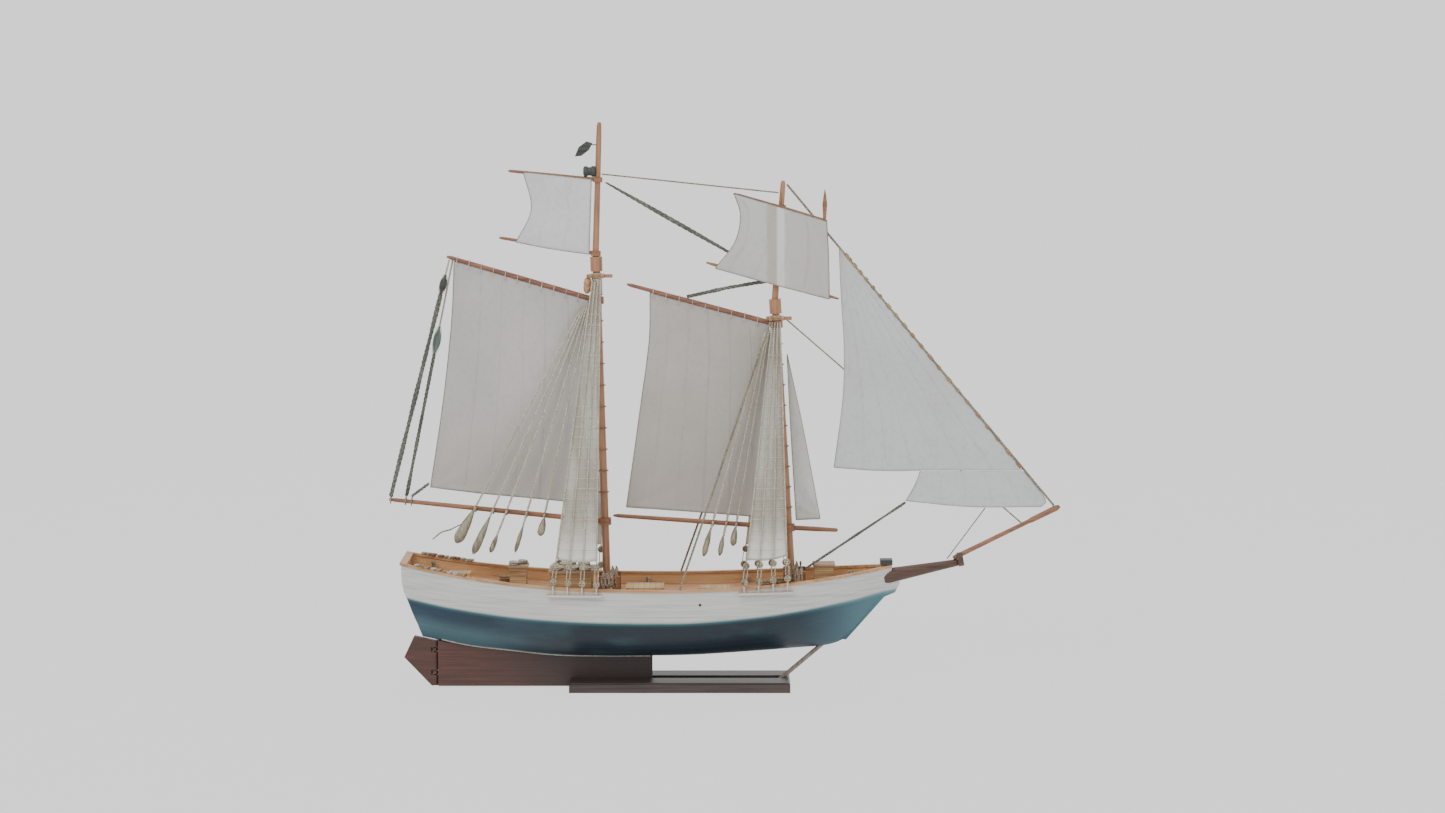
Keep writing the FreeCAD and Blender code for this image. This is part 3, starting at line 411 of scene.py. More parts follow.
def metal():
    n = Nodes("dull_brass", 0.42)
    n.set("Metallic", 0.6)
    tarnish = n.noise((300, 300, 300), 5)
    base = n.mix(n.between(tarnish, 0.42, 0.66), (108, 84, 62), (58, 48, 40))
    n.bump(tarnish, 0.00005)
    return n.finish(base, n.plus(n.times(tarnish, 0.4), 0.25))


def keel_fade(n, base):
    """The keel darkens forward, towards the board."""
    x = n.xyz()[0]
    return n.stain(base, n.between(x, -0.20, -0.09), 0.82, (44, 36, 34))


JOINTS = (84, 62, 42)
# Woods: light and dark tone, way of the grain, roughness, how much is worn pale, and any further step
WOODS = {
    "rail": ((190, 146, 102), (148, 106, 68), "x", 0.42),
    "deck": ((200, 152, 108), (164, 116, 76), "x", 0.5, 0.2, planked("Y", 0.0055, (88, 54, 34))),
    "house": ((190, 160, 116), (140, 104, 66), "x", 0.5, 0.3, planked("Z", 0.0042, JOINTS)),
    "hatch": ((196, 160, 104), (150, 112, 66), "x", 0.5, 0.3, planked("X", 0.0050, JOINTS)),
    "roof": ((168, 138, 106), (122, 96, 72)),
    "keel": ((84, 49, 39), (60, 37, 31), "x", 0.5, 0.12, keel_fade),
    "board": ((66, 54, 50), (44, 36, 34), "x", 0.42, 0.15),
    "strut": ((128, 116, 106), (84, 70, 62), "z", 0.6, 0.3),
    "mast": ((164, 118, 84), (124, 86, 60), "z", 0.45),
    "spar": ((146, 98, 66), (106, 70, 48), "x", 0.45),
    "gaff": ((138, 90, 68), (98, 62, 48), "x", 0.45),
    "bowsprit": ((82, 55, 42), (54, 38, 30), "x", 0.45),
    "fitting": ((158, 150, 128), (96, 88, 70), "z", 0.6, 0.4),
    "dark": ((58, 62, 58), (30, 34, 32), "x", 0.5, 0.3),
    "green": ((98, 118, 108), (62, 78, 70), "z", 0.5, 0.4),
}
# Ropes: light and dark tone
ROPES = {
    "pale_rope": ((208, 202, 188), (154, 144, 124)),
    "tackle_rope": ((168, 162, 142), (96, 92, 76)),
    "dark_rope": ((120, 121, 110), (62, 64, 56)),
    "stay_rope": ((158, 150, 128), (96, 92, 78)),
    "jib_rope": ((176, 174, 164), (134, 134, 124)),
    "bolt_rope": ((150, 146, 132), (104, 104, 92)),
    "tan_rope": ((190, 160, 122), (128, 100, 72)),
    # The pale bead that paints a highlight along the keel joint.
    "highlight_bead": ((178, 176, 168), (138, 136, 128)),
}
# Cloths: the tone of each sail, its stain, and any further step
CLOTHS = {
    "mainsail": ((202, 197, 194), (188, 185, 180), foot_shade),
    "foresail": ((192, 185, 180), (178, 174, 166), foot_shade),
    "fore_staysail": ((208, 208, 204), (192, 190, 182)),
    "main_topsail": ((222, 222, 223), (212, 211, 212)),
    "fore_topsail": ((204, 204, 201), (196, 194, 190), mast_shade),
    "jib": ((208, 210, 211), (202, 203, 203)),
}
MATERIALS = {"hull": hull_paint(), "brass": metal(), "gauze": gauze()}
MATERIALS |= {name: wood(name + "_wood", *look) for name, look in WOODS.items()}
MATERIALS |= {name: rope_material(name, *look) for name, look in ROPES.items()}
MATERIALS |= {name: cloth(name + "_cloth", *look) for name, look in CLOTHS.items()}
MATERIALS["jib_bonnet"] = MATERIALS["jib"]


# ---- geometry

def piece(name, verts, faces, look, body="ship", smooth=True):
    """A new mesh piece that rides on a body; look names its material, which gives its slot."""
    mesh = bpy.data.meshes.new(name)
    mesh.from_pydata([tuple(v) for v in verts], [], faces)
    mesh.materials.append(MATERIALS[look])
    mesh.validate()
    if smooth:
        mesh.shade_smooth()
    obj = bpy.data.objects.new(name, mesh)
    scene.collection.objects.link(obj)
    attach(obj, body)
    return obj


class Build:
    """Collects vertices and faces of many small shapes for one piece."""

    def __init__(self):
        self.verts = []
        self.faces = []

    def add(self, verts, faces):
        start = len(self.verts)
        self.verts += verts
        self.faces += [tuple(i + start for i in face) for face in faces]

    def make(self, name, look, body="ship", smooth=True):
        return piece(name, self.verts, self.faces, look, body, smooth)


def circle(count):
    """Cosine and sine at equal steps round a circle."""
    return [(cos(2 * pi * k / count), sin(2 * pi * k / count)) for k in range(count)]


def oval(centre, across, up, sides):
    """Points round an oval; across and up are its half axes."""
    return [centre + across * c + up * s for c, s in circle(sides)]


def skin(build, verts, sides, closed=False):
    """Joins rings of points, each of so many sides, into a tube: one with capped ends or a closed one."""
    rows = len(verts) // sides
    faces = []
    for i in range(rows if closed else rows - 1):
        j = (i + 1) % rows
        for k in range(sides):
            m = (k + 1) % sides
            faces.append((i * sides + k, i * sides + m, j * sides + m, j * sides + k))
    if not closed:
        faces.append(tuple(reversed(range(sides))))
        faces.append(tuple((rows - 1) * sides + k for k in range(sides)))
    build.add(verts, faces)


def frames(points):
    """A side and an up direction at each point of a path, turning as little as possible."""
    result = []
    side = None
    for i, p in enumerate(points):
        ahead = points[min(i + 1, len(points) - 1)] - points[max(i - 1, 0)]
        ahead.normalize()
        if side is None:
            side = ahead.orthogonal().normalized()
        side = (side - ahead * side.dot(ahead)).normalized()
        result.append((side, ahead.cross(side)))
    return result


def tube(build, points, radii, sides=8):
    """A round tube along points, with one radius or one for each point."""
    if not hasattr(radii, "__len__"):
        radii = [radii] * len(points)
    rings = [oval(p, side * r, up * r, sides) for p, (side, up), r in zip(points, frames(points), radii)]
    skin(build, sum(rings, []), sides)


def resample(points, step):
    """Points an equal step apart along a polyline."""
    result = [points[0].copy()]
    carried = 0.0
    for a, b in zip(points, points[1:]):
        length = (b - a).length
        place = step - carried
        while place < length:
            result.append(a.lerp(b, place / length))
            place += step
        carried = length - (place - step)
    if (result[-1] - points[-1]).length > step * 0.3:
        result.append(points[-1].copy())
    return result


def rope(build, points, radius, sides=5, swell=None):
    """A three-strand laid rope along a path; swell gives its thickness at a share of its length."""
    pitch = radius * 8.0
    line = resample(points, pitch / 6)
    if len(line) < 3:
        line = [points[0], points[0].lerp(points[-1], 0.5), points[-1]]
    around = frames(line)
    last = len(line) - 1
    sizes = [radius * (swell(i / last) if swell else 1.0) for i in range(len(line))]
    for strand in range(3):
        centres = []
        for i, (p, (side, up)) in enumerate(zip(line, around)):
            a = 2 * pi * (i / 6 + strand / 3)
            centres.append(p + (side * cos(a) + up * sin(a)) * sizes[i] * 0.46)
        tube(build, centres, [size * 0.56 for size in sizes], sides)


def sagging(start, end, drop, count):
    """A line from start to end that hangs drop below the straight one at its middle."""
    shares = [i / (count - 1) for i in range(count)]
    return [start.lerp(end, t) - UP * (drop * 4 * t * (1 - t)) for t in shares]


def square_to(ahead):
    """Two directions square to one another and to ahead."""
    side = ahead.orthogonal().normalized()
    return side, ahead.cross(side)


def lathe(build, start, end, profile, radius, sides=20):
    """A turned shape from start to end: profile is (share of the length, share of the radius)."""
    side, up = [way * radius for way in square_to((end - start).normalized())]
    rings = [oval(start.lerp(end, share), side * r, up * r, sides) for share, r in profile]
    skin(build, sum(rings, []), sides)


def hoop(build, centre, axis, radius, wire, sides=24):
    """A ring of round wire."""
    side, up = square_to(axis)
    closed_tube(build, oval(centre, side * radius, up * radius, sides), axis, wire)


def closed_tube(build, ring, axis, wire, sides=8):
    """Round wire along a closed ring of points in a plane square to the axis."""
    centre = middle(ring)
    rounds = [oval(p, (p - centre).normalized() * wire, -axis * wire, sides) for p in ring]
    skin(build, sum(rounds, []), sides, closed=True)


def two_layers(n_cols, n_rows):
    """Faces of two grids joined along their edges, and the indices round that edge."""
    size = n_cols * n_rows
    faces = []
    for r in range(n_rows - 1):
        for c in range(n_cols - 1):
            a = r * n_cols + c
            quad = (a, a + 1, a + 1 + n_cols, a + n_cols)
            faces += [quad, tuple(i + size for i in reversed(quad))]
    loop = [*range(n_cols), *range(2 * n_cols - 1, size, n_cols), *range(size - 2, size - n_cols, -1),
            *range(size - n_cols, 0, -n_cols)]
    faces += [(b, a, a + size, b + size) for a, b in zip(loop, loop[1:] + loop[:1])]
    return faces, loop


def waver(x, y, z):
    """Smooth noise at a place, from -1 to 1."""
    return noise.noise(Vector((x, y, z)))


def middle(points):
    return sum(points, Vector()) / len(points)


def islands(node):
    """The separate solids of a CAD node, each as a list of its points."""
    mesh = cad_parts[node].data
    parent = {}

    def root(place):
        while parent.setdefault(place, place) != place:
            parent[place] = parent[parent[place]]
            place = parent[place]
        return place

    places = [tuple(round(c, 7) for c in v.co) for v in mesh.vertices]
    for edge in mesh.edges:
        a, b = edge.vertices
        parent[root(places[a])] = root(places[b])
    groups = {}
    for place, v in zip(places, mesh.vertices):
        groups.setdefault(root(place), []).append(v.co.copy())
    return sorted(groups.values(), key=lambda points: tuple(round(c, 6) for c in middle(points)))


def from_axis(points, start, axis):
    """How far the farthest of the points lies from a line."""
    return max(((p - start) - axis * (p - start).dot(axis)).length for p in points)


def rod_ends(points):
    """Start, end and radius of a straight round rod, from its points."""
    centre = middle(points)
    far = max(points, key=lambda p: (p - centre).length)
    other = max(points, key=lambda p: (p - far).length)
    axis = (far - other).normalized()
    for _ in range(3):
        reach = [(p - centre).dot(axis) for p in points]
        low, high = min(reach), max(reach)
        tol = (high - low) * 0.06 + 1e-5
        start = middle([p for p, d in zip(points, reach) if d < low + tol])
        end = middle([p for p, d in zip(points, reach) if d > high - tol])
        axis = (end - start).normalized()
    return start, end, from_axis(points, start, axis)


def rods(node):
    """Start, end and radius of every rod of a CAD node."""
    return [rod_ends(points) for points in islands(node)]


def upright(node):
    """Foot, head, upward axis and radius of a mast."""
    foot, head, radius = rods(node)[0]
    if foot.z > head.z:
        foot, head = head, foot
    return foot, head, (head - foot).normalized(), radius


# ---- carried-over wood

DRESSING = {
    "hull": "hull stem bulwark_starboard bulwark_port transom_board channels",
    "rail": "cap_rail_starboard cap_rail_port",
    "deck": "deck",
    "house": "main_cabin companions",
    "hatch": "deck_hatches",
    "roof": "house_roofs",
    "keel": "keel rudder_blade",
    "board": "base_board",
    "strut": "bow_strut",
    "mast": "main_lower_mast main_topmast fore_lower_mast fore_topmast mast_caps crosstrees",
    "spar": "main_boom fore_boom jib_boom pin_rails main_collars fore_collars main_topsail_parrels "
            "fore_topsail_parrels main_topsail_yards fore_topsail_yards",
    "gaff": "main_gaff fore_gaff",
    "bowsprit": "bowsprit bowsprit_cap",
    "fitting": "belaying_pins bollards deadeyes main_blocks fore_blocks",
    "dark": "bow_block",
    "brass": "keel_screws rudder_gudgeons rudder_pintles",
    "pale_rope": "mast_coats",
}


def dress_cad():
    """Gives the CAD nodes that stay visible their materials."""
    for look, nodes in DRESSING.items():
        for node in nodes.split():
            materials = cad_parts[node].data.materials
            materials.clear()
            materials.append(MATERIALS[look])


# ---- sails

def smooth_line(points, t):
    """A point of a smooth line through points, at share t of its length."""
    points = [Vector((x * MM, 0.0, z * MM)) for x, z in points]
    spans = [(b - a).length for a, b in zip(points, points[1:])]
    total = sum(spans)
    if total < 1e-6:
        return points[0].copy()
    place = t * total
    i = 0
    while i < len(spans) - 1 and place > spans[i]:
        place -= spans[i]
        i += 1
    s = place / spans[i]
    p0 = points[i - 1] if i else points[0] * 2 - points[1]
    p1, p2 = points[i], points[i + 1]
    p3 = points[i + 2] if i + 2 < len(points) else p2 * 2 - p1
    return 0.5 * (2 * p1 + (p2 - p0) * s + (2 * p0 - 5 * p1 + 4 * p2 - p3) * s * s
                  + (3 * p1 - p0 - 3 * p2 + p3) * s ** 3)


def sail_point(sides, u, v):
    """Coons patch: u runs from the luff to the leech, v from the foot to the head."""
    foot, head = smooth_line(sides[FOOT], u), smooth_line(sides[HEAD], u)
    luff, leech = smooth_line(sides[LUFF], v), smooth_line(sides[LEECH], 1 - v)
    tack, clew = smooth_line(sides[FOOT], 0), smooth_line(sides[FOOT], 1)
    throat, peak = smooth_line(sides[HEAD], 0), smooth_line(sides[HEAD], 1)
    return (foot * (1 - v) + head * v + luff * (1 - u) + leech * u
            - tack * (1 - u) * (1 - v) - clew * u * (1 - v) - throat * (1 - u) * v - peak * u * v)


def sail_depth(point, u, v, belly, seed, corners):
    """How far the cloth stands out sideways: its belly, slack folds and creases from the corners."""
    shape = (4 * u * (1 - u)) ** 0.75 * (1 - (1 - v) ** 3) ** 0.5 * (1 - v ** 4)
    depth = belly * shape
    edge = min(1.0, 8 * min(u, 1 - u, v, 1 - v) + 0.15)
    soft = waver(point.x * 16 + seed, point.z * 7, seed)
    fine = waver(point.x * 55, point.z * 38 + seed, seed)
    depth += (soft * 0.9 + fine * 0.30) * MM * edge
    for corner, reach, count in corners:
        away = point - corner
        turn = atan2(away.z, away.x)
        fade = exp(-away.length / reach)
        depth += 0.55 * MM * sin(turn * count + seed) * fade * min(1.0, away.length / 0.01)
    return depth


def make_sail(name, body, belly, side_y=0.0, spar=None, roped=None):
    """One sail: bellied cloth with sewn panels and tabling, roped where roped says and laced to a spar."""
    sides = SAILS[name]
    seed = sum(ord(c) for c in name) % 97 * 0.37
    tack, clew, peak = [smooth_line(sides[side], t) for side, t in ((FOOT, 0), (FOOT, 1), (HEAD, 1))]
    width = (clew - tack).length
    height = (clew - peak).length
    cols = sorted_places(width, PANEL, PANEL_SEAM)
    n_rows = max(24, int(height / 0.0022)) + 1
    corners = [(tack, 0.05, 9), (clew, 0.06, 11), (peak, 0.04, 8)]
    verts = []
    for layer in (-1, 1):
        for v in [i / (n_rows - 1) for i in range(n_rows)]:
            for u, raised in cols:
                p = sail_point(sides, u, v)
                depth = sail_depth(p, u, v, belly, seed, corners)
                hem = min(u, 1 - u) * width < HEM or min(v, 1 - v) * height < HEM
                half = CLOTH_THICKNESS * (1.9 if hem or raised else 1.0) / 2
                verts.append(Vector((p.x, side_y + depth + layer * half, p.z)))
    faces, loop = two_layers(len(cols), n_rows)
    obj = piece(name + "_cloth", verts, faces, name, body)
    weld(obj)
    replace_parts(obj, name)
    size = len(cols) * n_rows
    border = [(verts[i] + verts[i + size]) / 2 for i in loop]
    line = [p for i, p in enumerate(border) if i == 0 or (p - border[i - 1]).length > 1e-5]
    edge = Build()
    for run in roped_runs(line, roped):
        rope(edge, run, 0.00050, 4)
    extras = [edge.make(name + "_bolt_rope", "jib_rope" if roped else "bolt_rope", body)]
    if spar:
        extras.append(lace(name, body, sides, *rods(spar)[0]))


def roped_runs(line, roped):
    """The whole edge, closed, or only the runs of it where roped(point) is true."""
    if not roped:
        return [line + line[:1]]
    first = next(i for i, p in enumerate(line) if not roped(p))
    runs, run = [], []
    for p in line[first:] + line[:first]:
        if roped(p):
            run.append(p)
        elif run:
            runs.append(run)
            run = []
    return [r for r in runs + [run] if len(r) > 2]


def off_bonnet_seam(point):
    """False along the seam where the bonnet joins the jib."""
    return point.x < BONNET_SEAM_X or abs(point.z - BONNET_SEAM_Z) > 0.0012


def sorted_places(width, panel, seam):
    """Places across a sail, as (share, on a seam), with both edges of every panel seam."""
    count = max(16, int(width / 0.0024))
    places = {i / count: False for i in range(count + 1)}
    at = panel
    half, step = seam / 2, 0.0001
    while at < width - panel * 0.4:
        for d in (-half - step, -half, 0, half, half + step):
            places[(at + d) / width] = abs(d) <= half
        at += panel
    return sorted(places.items())


def weld(obj):
    """Joins points that fall together, as at a triangular sail's head."""
    work = bmesh.new()
    work.from_mesh(obj.data)
    bmesh.ops.remove_doubles(work, verts=work.verts, dist=1e-6)
    bmesh.ops.dissolve_degenerate(work, dist=1e-7, edges=work.edges)
    bmesh.ops.recalc_face_normals(work, faces=work.faces)
    work.to_mesh(obj.data)
    work.free()


def lace(name, body, sides, start, end, radius):
    """Loops of line that hold a sail's head to its spar."""
    build = Build()
    along_spar = (end - start).normalized()
    throat, peak = smooth_line(sides[HEAD], 0), smooth_line(sides[HEAD], 1)
    count = max(4, int((peak - throat).length / 0.0125))
    for i in range(count + 1):
        p = throat.lerp(peak, (i + 0.9) / (count + 1.1))
        on = start + along_spar * (p - start).dot(along_spar)
        low = p - UP * 0.0012
        below = Vector((low.x, on.y, low.z))
        up = (on - below).normalized()
        tall = (on - low).length / 2 + radius + 0.0006
        ring = oval((on + below) / 2, up * tall, PORT * (radius + 0.0006), 18)
        closed_tube(build, ring, along_spar, 0.00035, 6)
    return build.make(name + "_lacing", "pale_rope", body)


def make_sails():
    make_sail("mainsail", "main_rig", 0.0036, spar="main_gaff")
    make_sail("foresail", "fore_rig", 0.0034, spar="fore_gaff")
    make_sail("fore_staysail", "fore_rig", -0.0012)
    make_sail("main_topsail", "main_topsail_rig", -0.0020, side_y=-2.3 * MM)
    make_sail("fore_topsail", "fore_topsail_rig", -0.0020, side_y=-9.4 * MM)
    make_sail("jib", "ship", -0.0042, roped=off_bonnet_seam)
    make_sail("jib_bonnet", "ship", -0.0012, roped=off_bonnet_seam)


# ---- rigging

def spindle(share):
    """A rope that is thickest a third of the way along."""
    return 0.36 + 0.64 * sin(pi * min(1.0, max(0.0, share)) ** 0.75) ** 1.2


def uneven(seed):
    """A hand-served rope whose thickness wanders."""
    return lambda share: 1.14 + 0.36 * waver(share * 7.0, seed, 0.0)


def stay_size(start, end):
    """How much thicker each stay is laid: the jib stay and the backstays are the heaviest."""
    low = start if start.z < end.z else end
    if low.x > 0.33:
        return 1.9
    return 1.8 if abs(low.y) > 0.03 else 1.25


def rope_group(node, look, body="ship", thicker=1.0, swell=None):
    """The ropes of one CAD node, light ones and heavy ones, as laid rope on the same ends."""
    light, heavy = Build(), Build()
    for i, (start, end, radius) in enumerate(rods(node)):
        if radius > 0.001:
            rope(heavy, [start, end], radius, 6, swell or uneven(i))
        else:
            rope(light, [start, end], radius * (stay_size(start, end) if node == "stays" else thicker))
    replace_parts(light.make(node + "_rope", look, body), node)
    if heavy.verts:
        heavy.make(node + "_heavy_rope", "dark_rope", body)


def make_ropes():
    """Every rope of the CAD model, on the same ends."""
    rope_group("stays", "stay_rope", swell=spindle)
    rope_group("jib_lines", "stay_rope")
    rope_group("main_lifts", "pale_rope", "main_rig", 1.9)
    rope_group("fore_lifts", "pale_rope", "fore_rig", 1.9)
    rope_group("shrouds", "pale_rope", thicker=1.1)
    build = Build()
    for start, end, radius in rods("ratlines"):
        tube(build, sagging(start, end, 0.0005, 9), radius * 0.8, 6)
    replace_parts(build.make("ratlines_line", "pale_rope"), "ratlines")


DEADEYE = [(0, 0.55), (0.04, 0.84), (0.2, 0.99), (0.38, 1), (0.44, 0.86), (0.56, 0.86), (0.62, 1),
           (0.8, 0.99), (0.96, 0.84), (1, 0.55)]


def make_deadeyes():
    """Grooved discs; the lanyard-hole openings are not cut, and three dark discs on each face paint their
    shade.
    """
    discs, hole_shade = Build(), Build()
    for points in islands("deadeyes"):
        centre = middle(points)
        axis = flat_axis(points, centre)
        if axis.y * centre.y < 0:
            axis = -axis
        half = max(abs((p - centre).dot(axis)) for p in points)
        radius = from_axis(points, centre, axis)
        lathe(discs, centre - axis * half, centre + axis * half, DEADEYE, radius)
        up = (UP - axis * axis.z).normalized()
        aside = axis.cross(up)
        # Painted shade: a dark disc on each face for every lanyard-hole opening.
        for turn in (90, 210, 330):
            a = radians(turn)
            spot = centre + (aside * cos(a) + up * sin(a)) * radius * 0.48
            for face in (-1, 1):
                out = axis * (face * (half + 0.00006))
                lathe(hole_shade, spot + out * 0.9, spot + out, [(0, 1), (1, 1)], 0.0005, 10)
    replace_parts(discs.make("deadeye_discs", "fitting"), "deadeyes")
    hole_shade.make("deadeye_hole_shades", "dark")


def flat_axis(points, centre):
    """The direction in which a disc is thinnest."""
    tilts = [radians(-30 + i) for i in range(60)]
    axes = [Vector((0, cos(tilt), sin(tilt))) for tilt in tilts]
    return min(axes, key=lambda axis: max(abs((p - centre).dot(axis)) for p in points))


LIFT_BLOCK = [(0, 0.22), (0.12, 0.33), (0.3, 0.5), (0.5, 0.74), (0.68, 0.93), (0.8, 1), (0.9, 0.9),
              (0.97, 0.62), (1, 0.3)]
VANG_BLOCK = [(0, 0.2), (0.1, 0.45), (0.25, 0.8), (0.45, 1), (0.6, 0.97), (0.8, 0.7), (0.94, 0.4), (1, 0.2)]
UPPER_VANG_BLOCK_Z = 0.35


def make_blocks():
    """Teardrop tackle blocks along their lines, each in a rope strop; the vang blocks are dark and green."""
    for mast in ("main", "fore"):
        node, body = mast + "_blocks", mast + "_rig"
        shells, strops, leaf, black = Build(), Build(), Build(), Build()
        for start, end, radius in rods(node):
            if start.z < end.z:
                start, end = end, start
            vang = start.x < -0.2
            shell = shells
            if vang:
                shell = black if start.z > UPPER_VANG_BLOCK_Z else leaf
            lathe(shell, start, end, VANG_BLOCK if vang else LIFT_BLOCK, radius)
            aside = (end - start).normalized().cross(PORT).normalized()
            ring = []
            for c, s in circle(28):
                place = 0.5 - 0.53 * c
                wide = radius * (1.04 if vang else 0.35 + 0.75 * place) * s
                ring.append(start + (end - start) * place + aside * wide)
            closed_tube(strops, ring, PORT, WIRE, 6)
        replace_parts(shells.make(node + "_shells", "fitting", body), node)
        strops.make(node + "_strops", "tackle_rope", body)
        if leaf.verts:
            leaf.make(node + "_leaf_shell", "green", body)
            black.make(node + "_dark_shell", "dark", body)


def netting(lines, sign):
    """Points of two layers of netting across a row of shrouds, and its faces, columns and rows."""
    rows, cols = 90, 30
    verts = []
    for layer in (0, 1):
        for r in range(rows + 1):
            v = r / rows
            for c in range(cols + 1):
                u = c / cols
                place = u * (len(lines) - 1)
                i = min(int(place), len(lines) - 2)
                first, second = [low.lerp(high, 0.012 + v * 0.965) for low, high in lines[i:i + 2]]
                p = first.lerp(second, place - i)
                edge = 4 * u * (1 - u)
                ragged = waver(p.x * 160, 2.0, sign)
                droop = -(0.0022 * edge + 0.0012 * ragged) * (1 - v) ** 6
                fold = waver(p.x * 90, p.z * 14, sign * 3.0) * 0.0010 * edge
                inward = -sign * (0.0015 + fold + layer * 0.00022)
                verts.append(Vector((p.x, p.y + inward, p.z + droop)))
    return verts, two_layers(cols + 1, rows + 1)[0], cols, rows


def make_netting():
    """Fine netting stretched between the shrouds of each mast, on both sides."""
    shrouds = [sorted(rod[:2], key=lambda p: p.z) for rod in rods("shrouds")]
    for mast, low_x, high_x in (("main", -0.2, -0.03), ("fore", 0.03, 0.2)):
        for side_name, sign in (("starboard", -1), ("port", 1)):
            lines = [(low, high) for low, high in shrouds
                     if high.z - low.z > 0.1 and low_x < low.x < high_x and low.y * sign > 0]
            verts, faces, cols, rows = netting(sorted(lines, key=lambda line: line[0].x), sign)
            name = "%s_netting_%s" % (mast, side_name)
            obj = piece(name, verts, faces, "gauze")
            border = Build()
            rope(border, verts[:cols + 1], 0.0006)
            hem = border.make(name + "_hem", "pale_rope")


def make_hoops():
    """Mast hoops that hold each gaff sail's luff to its mast."""
    for sail, mast in (("mainsail", "main"), ("foresail", "fore")):
        foot, _, axis, _ = upright(mast + "_lower_mast")
        build = Build()
        low, high = SAILS[sail][LUFF][0][1], SAILS[sail][LUFF][-1][1]
        for i in range(HOOP_COUNT):
            z = (low + (high - low) * (0.06 + 0.105 * i)) * MM
            centre = foot + axis * ((z - foot.z) / axis.z)
            hoop(build, centre - Vector((0.0009, 0, 0)), axis, HOOP_RADIUS, WIRE)
        build.make(sail + "_hoops", "spar", mast + "_rig")


# ---- small fittings and rope work

def surface(node):
    """A ray caster for one CAD node: the first hit from a point along a direction, or None."""
    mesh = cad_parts[node].data
    tree = BVHTree.FromPolygons([v.co for v in mesh.vertices], [tuple(p.vertices) for p in mesh.polygons])
    return lambda start, ahead: tree.ray_cast(Vector(start), Vector(ahead))[0]


ABOVE = 0.2
SERVING = 0.00075
FAIRLEAD_ENDS = Vector((-0.0865, 0, 0.4668)), Vector((-0.0752, 0, 0.4668))
THROAT_BLOCK_ENDS = Vector((-0.0835, -0.002, 0.3575)), Vector((-0.0826, -0.002, 0.3725))
HALYARD_PATH = (0.0795, 0.3690), (0.042, 0.3625), (0.006, 0.3545)
HALYARD_RADIUS = 0.0016
TAIL_RADIUS = 0.0007
SERVED_FROM, SERVED_TO = 0.3566, 0.3706
# Turned shapes as (share of the length, radius in millimetres), and the vane's corners as (x, z) in metres
FAIRLEAD = [(0, 3), (0.08, 4.6), (0.3, 4.8), (0.34, 4), (0.5, 3.8), (0.64, 4), (0.68, 5), (0.92, 4.8),
            (1, 3.2)]
THROAT_BLOCK = [(0, 1.2), (0.15, 3), (0.4, 3.7), (0.48, 3.1), (0.56, 3.7), (0.85, 3), (1, 1.2)]
SCUPPER_SHADE = [(0, 1.2), (0.6, 1.3), (1, 0.9)]
VANE = [(-0.0782, 0.4920), (-0.0835, 0.4936), (-0.0905, 0.4884), (-0.0940, 0.4800), (-0.0880, 0.4806),
        (-0.0812, 0.4858)]


def coil(build, centre, radius, wire, turns, layers=2):
    """A rope coiled flat: rings one inside the other, in layers."""
    for layer in range(layers):
        points = []
        steps = 22 * turns
        for k in range(steps + 1):
            a = 2 * pi * k / 22
            inward = 1 - k / steps if layer % 2 else k / steps
            r = radius - turns * 1.75 * wire * inward
            wave = waver(a * 0.7, centre.x * 50, layer) * wire * 0.8
            up = wire * (1.0 + 1.8 * layer) + abs(wave)
            points.append(centre + Vector((r * cos(a), r * sin(a), up)))
        rope(build, points, wire, 4)


def hank(build, top, length, wide, wire, loops=4):
    """Loops of rope hung over a pin, with a turn round their neck."""
    for i in range(loops):
        points = []
        shift = (i - (loops - 1) / 2) * wire * 1.7
        reach = length * random.uniform(0.86, 1.08)
        for k in range(21):
            a = 2 * pi * k / 20
            swell = wide * (0.35 + 0.65 * (1 - cos(a)) / 2)
            fall = reach * (1 - cos(a)) / 2
            points.append(top + Vector((swell * sin(a) + shift * 0.4, shift, -fall)))
        rope(build, points, wire, 4)
    neck = top - UP * (length * 0.22)
    for i in range(3):
        hoop(build, neck - UP * (i * wire * 1.7), UP, wide * 0.62, wire, 14)


def make_rope_work():
    """Coils on the deck houses and hatches, hanks on the pin rails and flakes along the after rail."""
    pale, tan = Build(), Build()
    down = (0, 0, -1)
    for cast, places, build, layers in ((surface("house_roofs"), ROOF_COILS, pale, 2),
                                        (surface("deck"), DECK_COILS, tan, 3)):
        for x, y, radius in places:
            hit = cast((x * MM, y * MM, ABOVE), down)
            if hit:
                coil(build, hit, radius * MM, COIL_ROPE, 3, layers)
    for points in islands("belaying_pins"):
        if random.random() < 0.8:
            build, length = random.choice((pale, tan)), random.uniform(0.011, 0.016)
            hank(build, middle(points), length, PIN_HANK_WIDTH, PIN_HANK_ROPE)
    rails = (-1, surface("cap_rail_starboard")), (1, surface("cap_rail_port"))
    for i in range(FLAKES):
        x = FLAKES_FROM_X + FLAKE_STEP * i + random.uniform(-0.001, 0.001)
        for sign, cast in rails:
            hit = cast((x, sign * (RAIL_MIDDLE_AFT + RAIL_SPREAD * i), ABOVE), down)
            if hit:
                coil(random.choice((pale, tan)), hit, random.uniform(0.0026, 0.0036), FLAKE_ROPE, 2)
    pale.make("rope_coils_pale", "pale_rope")
    tan.make("rope_coils_tan", "tan_rope")


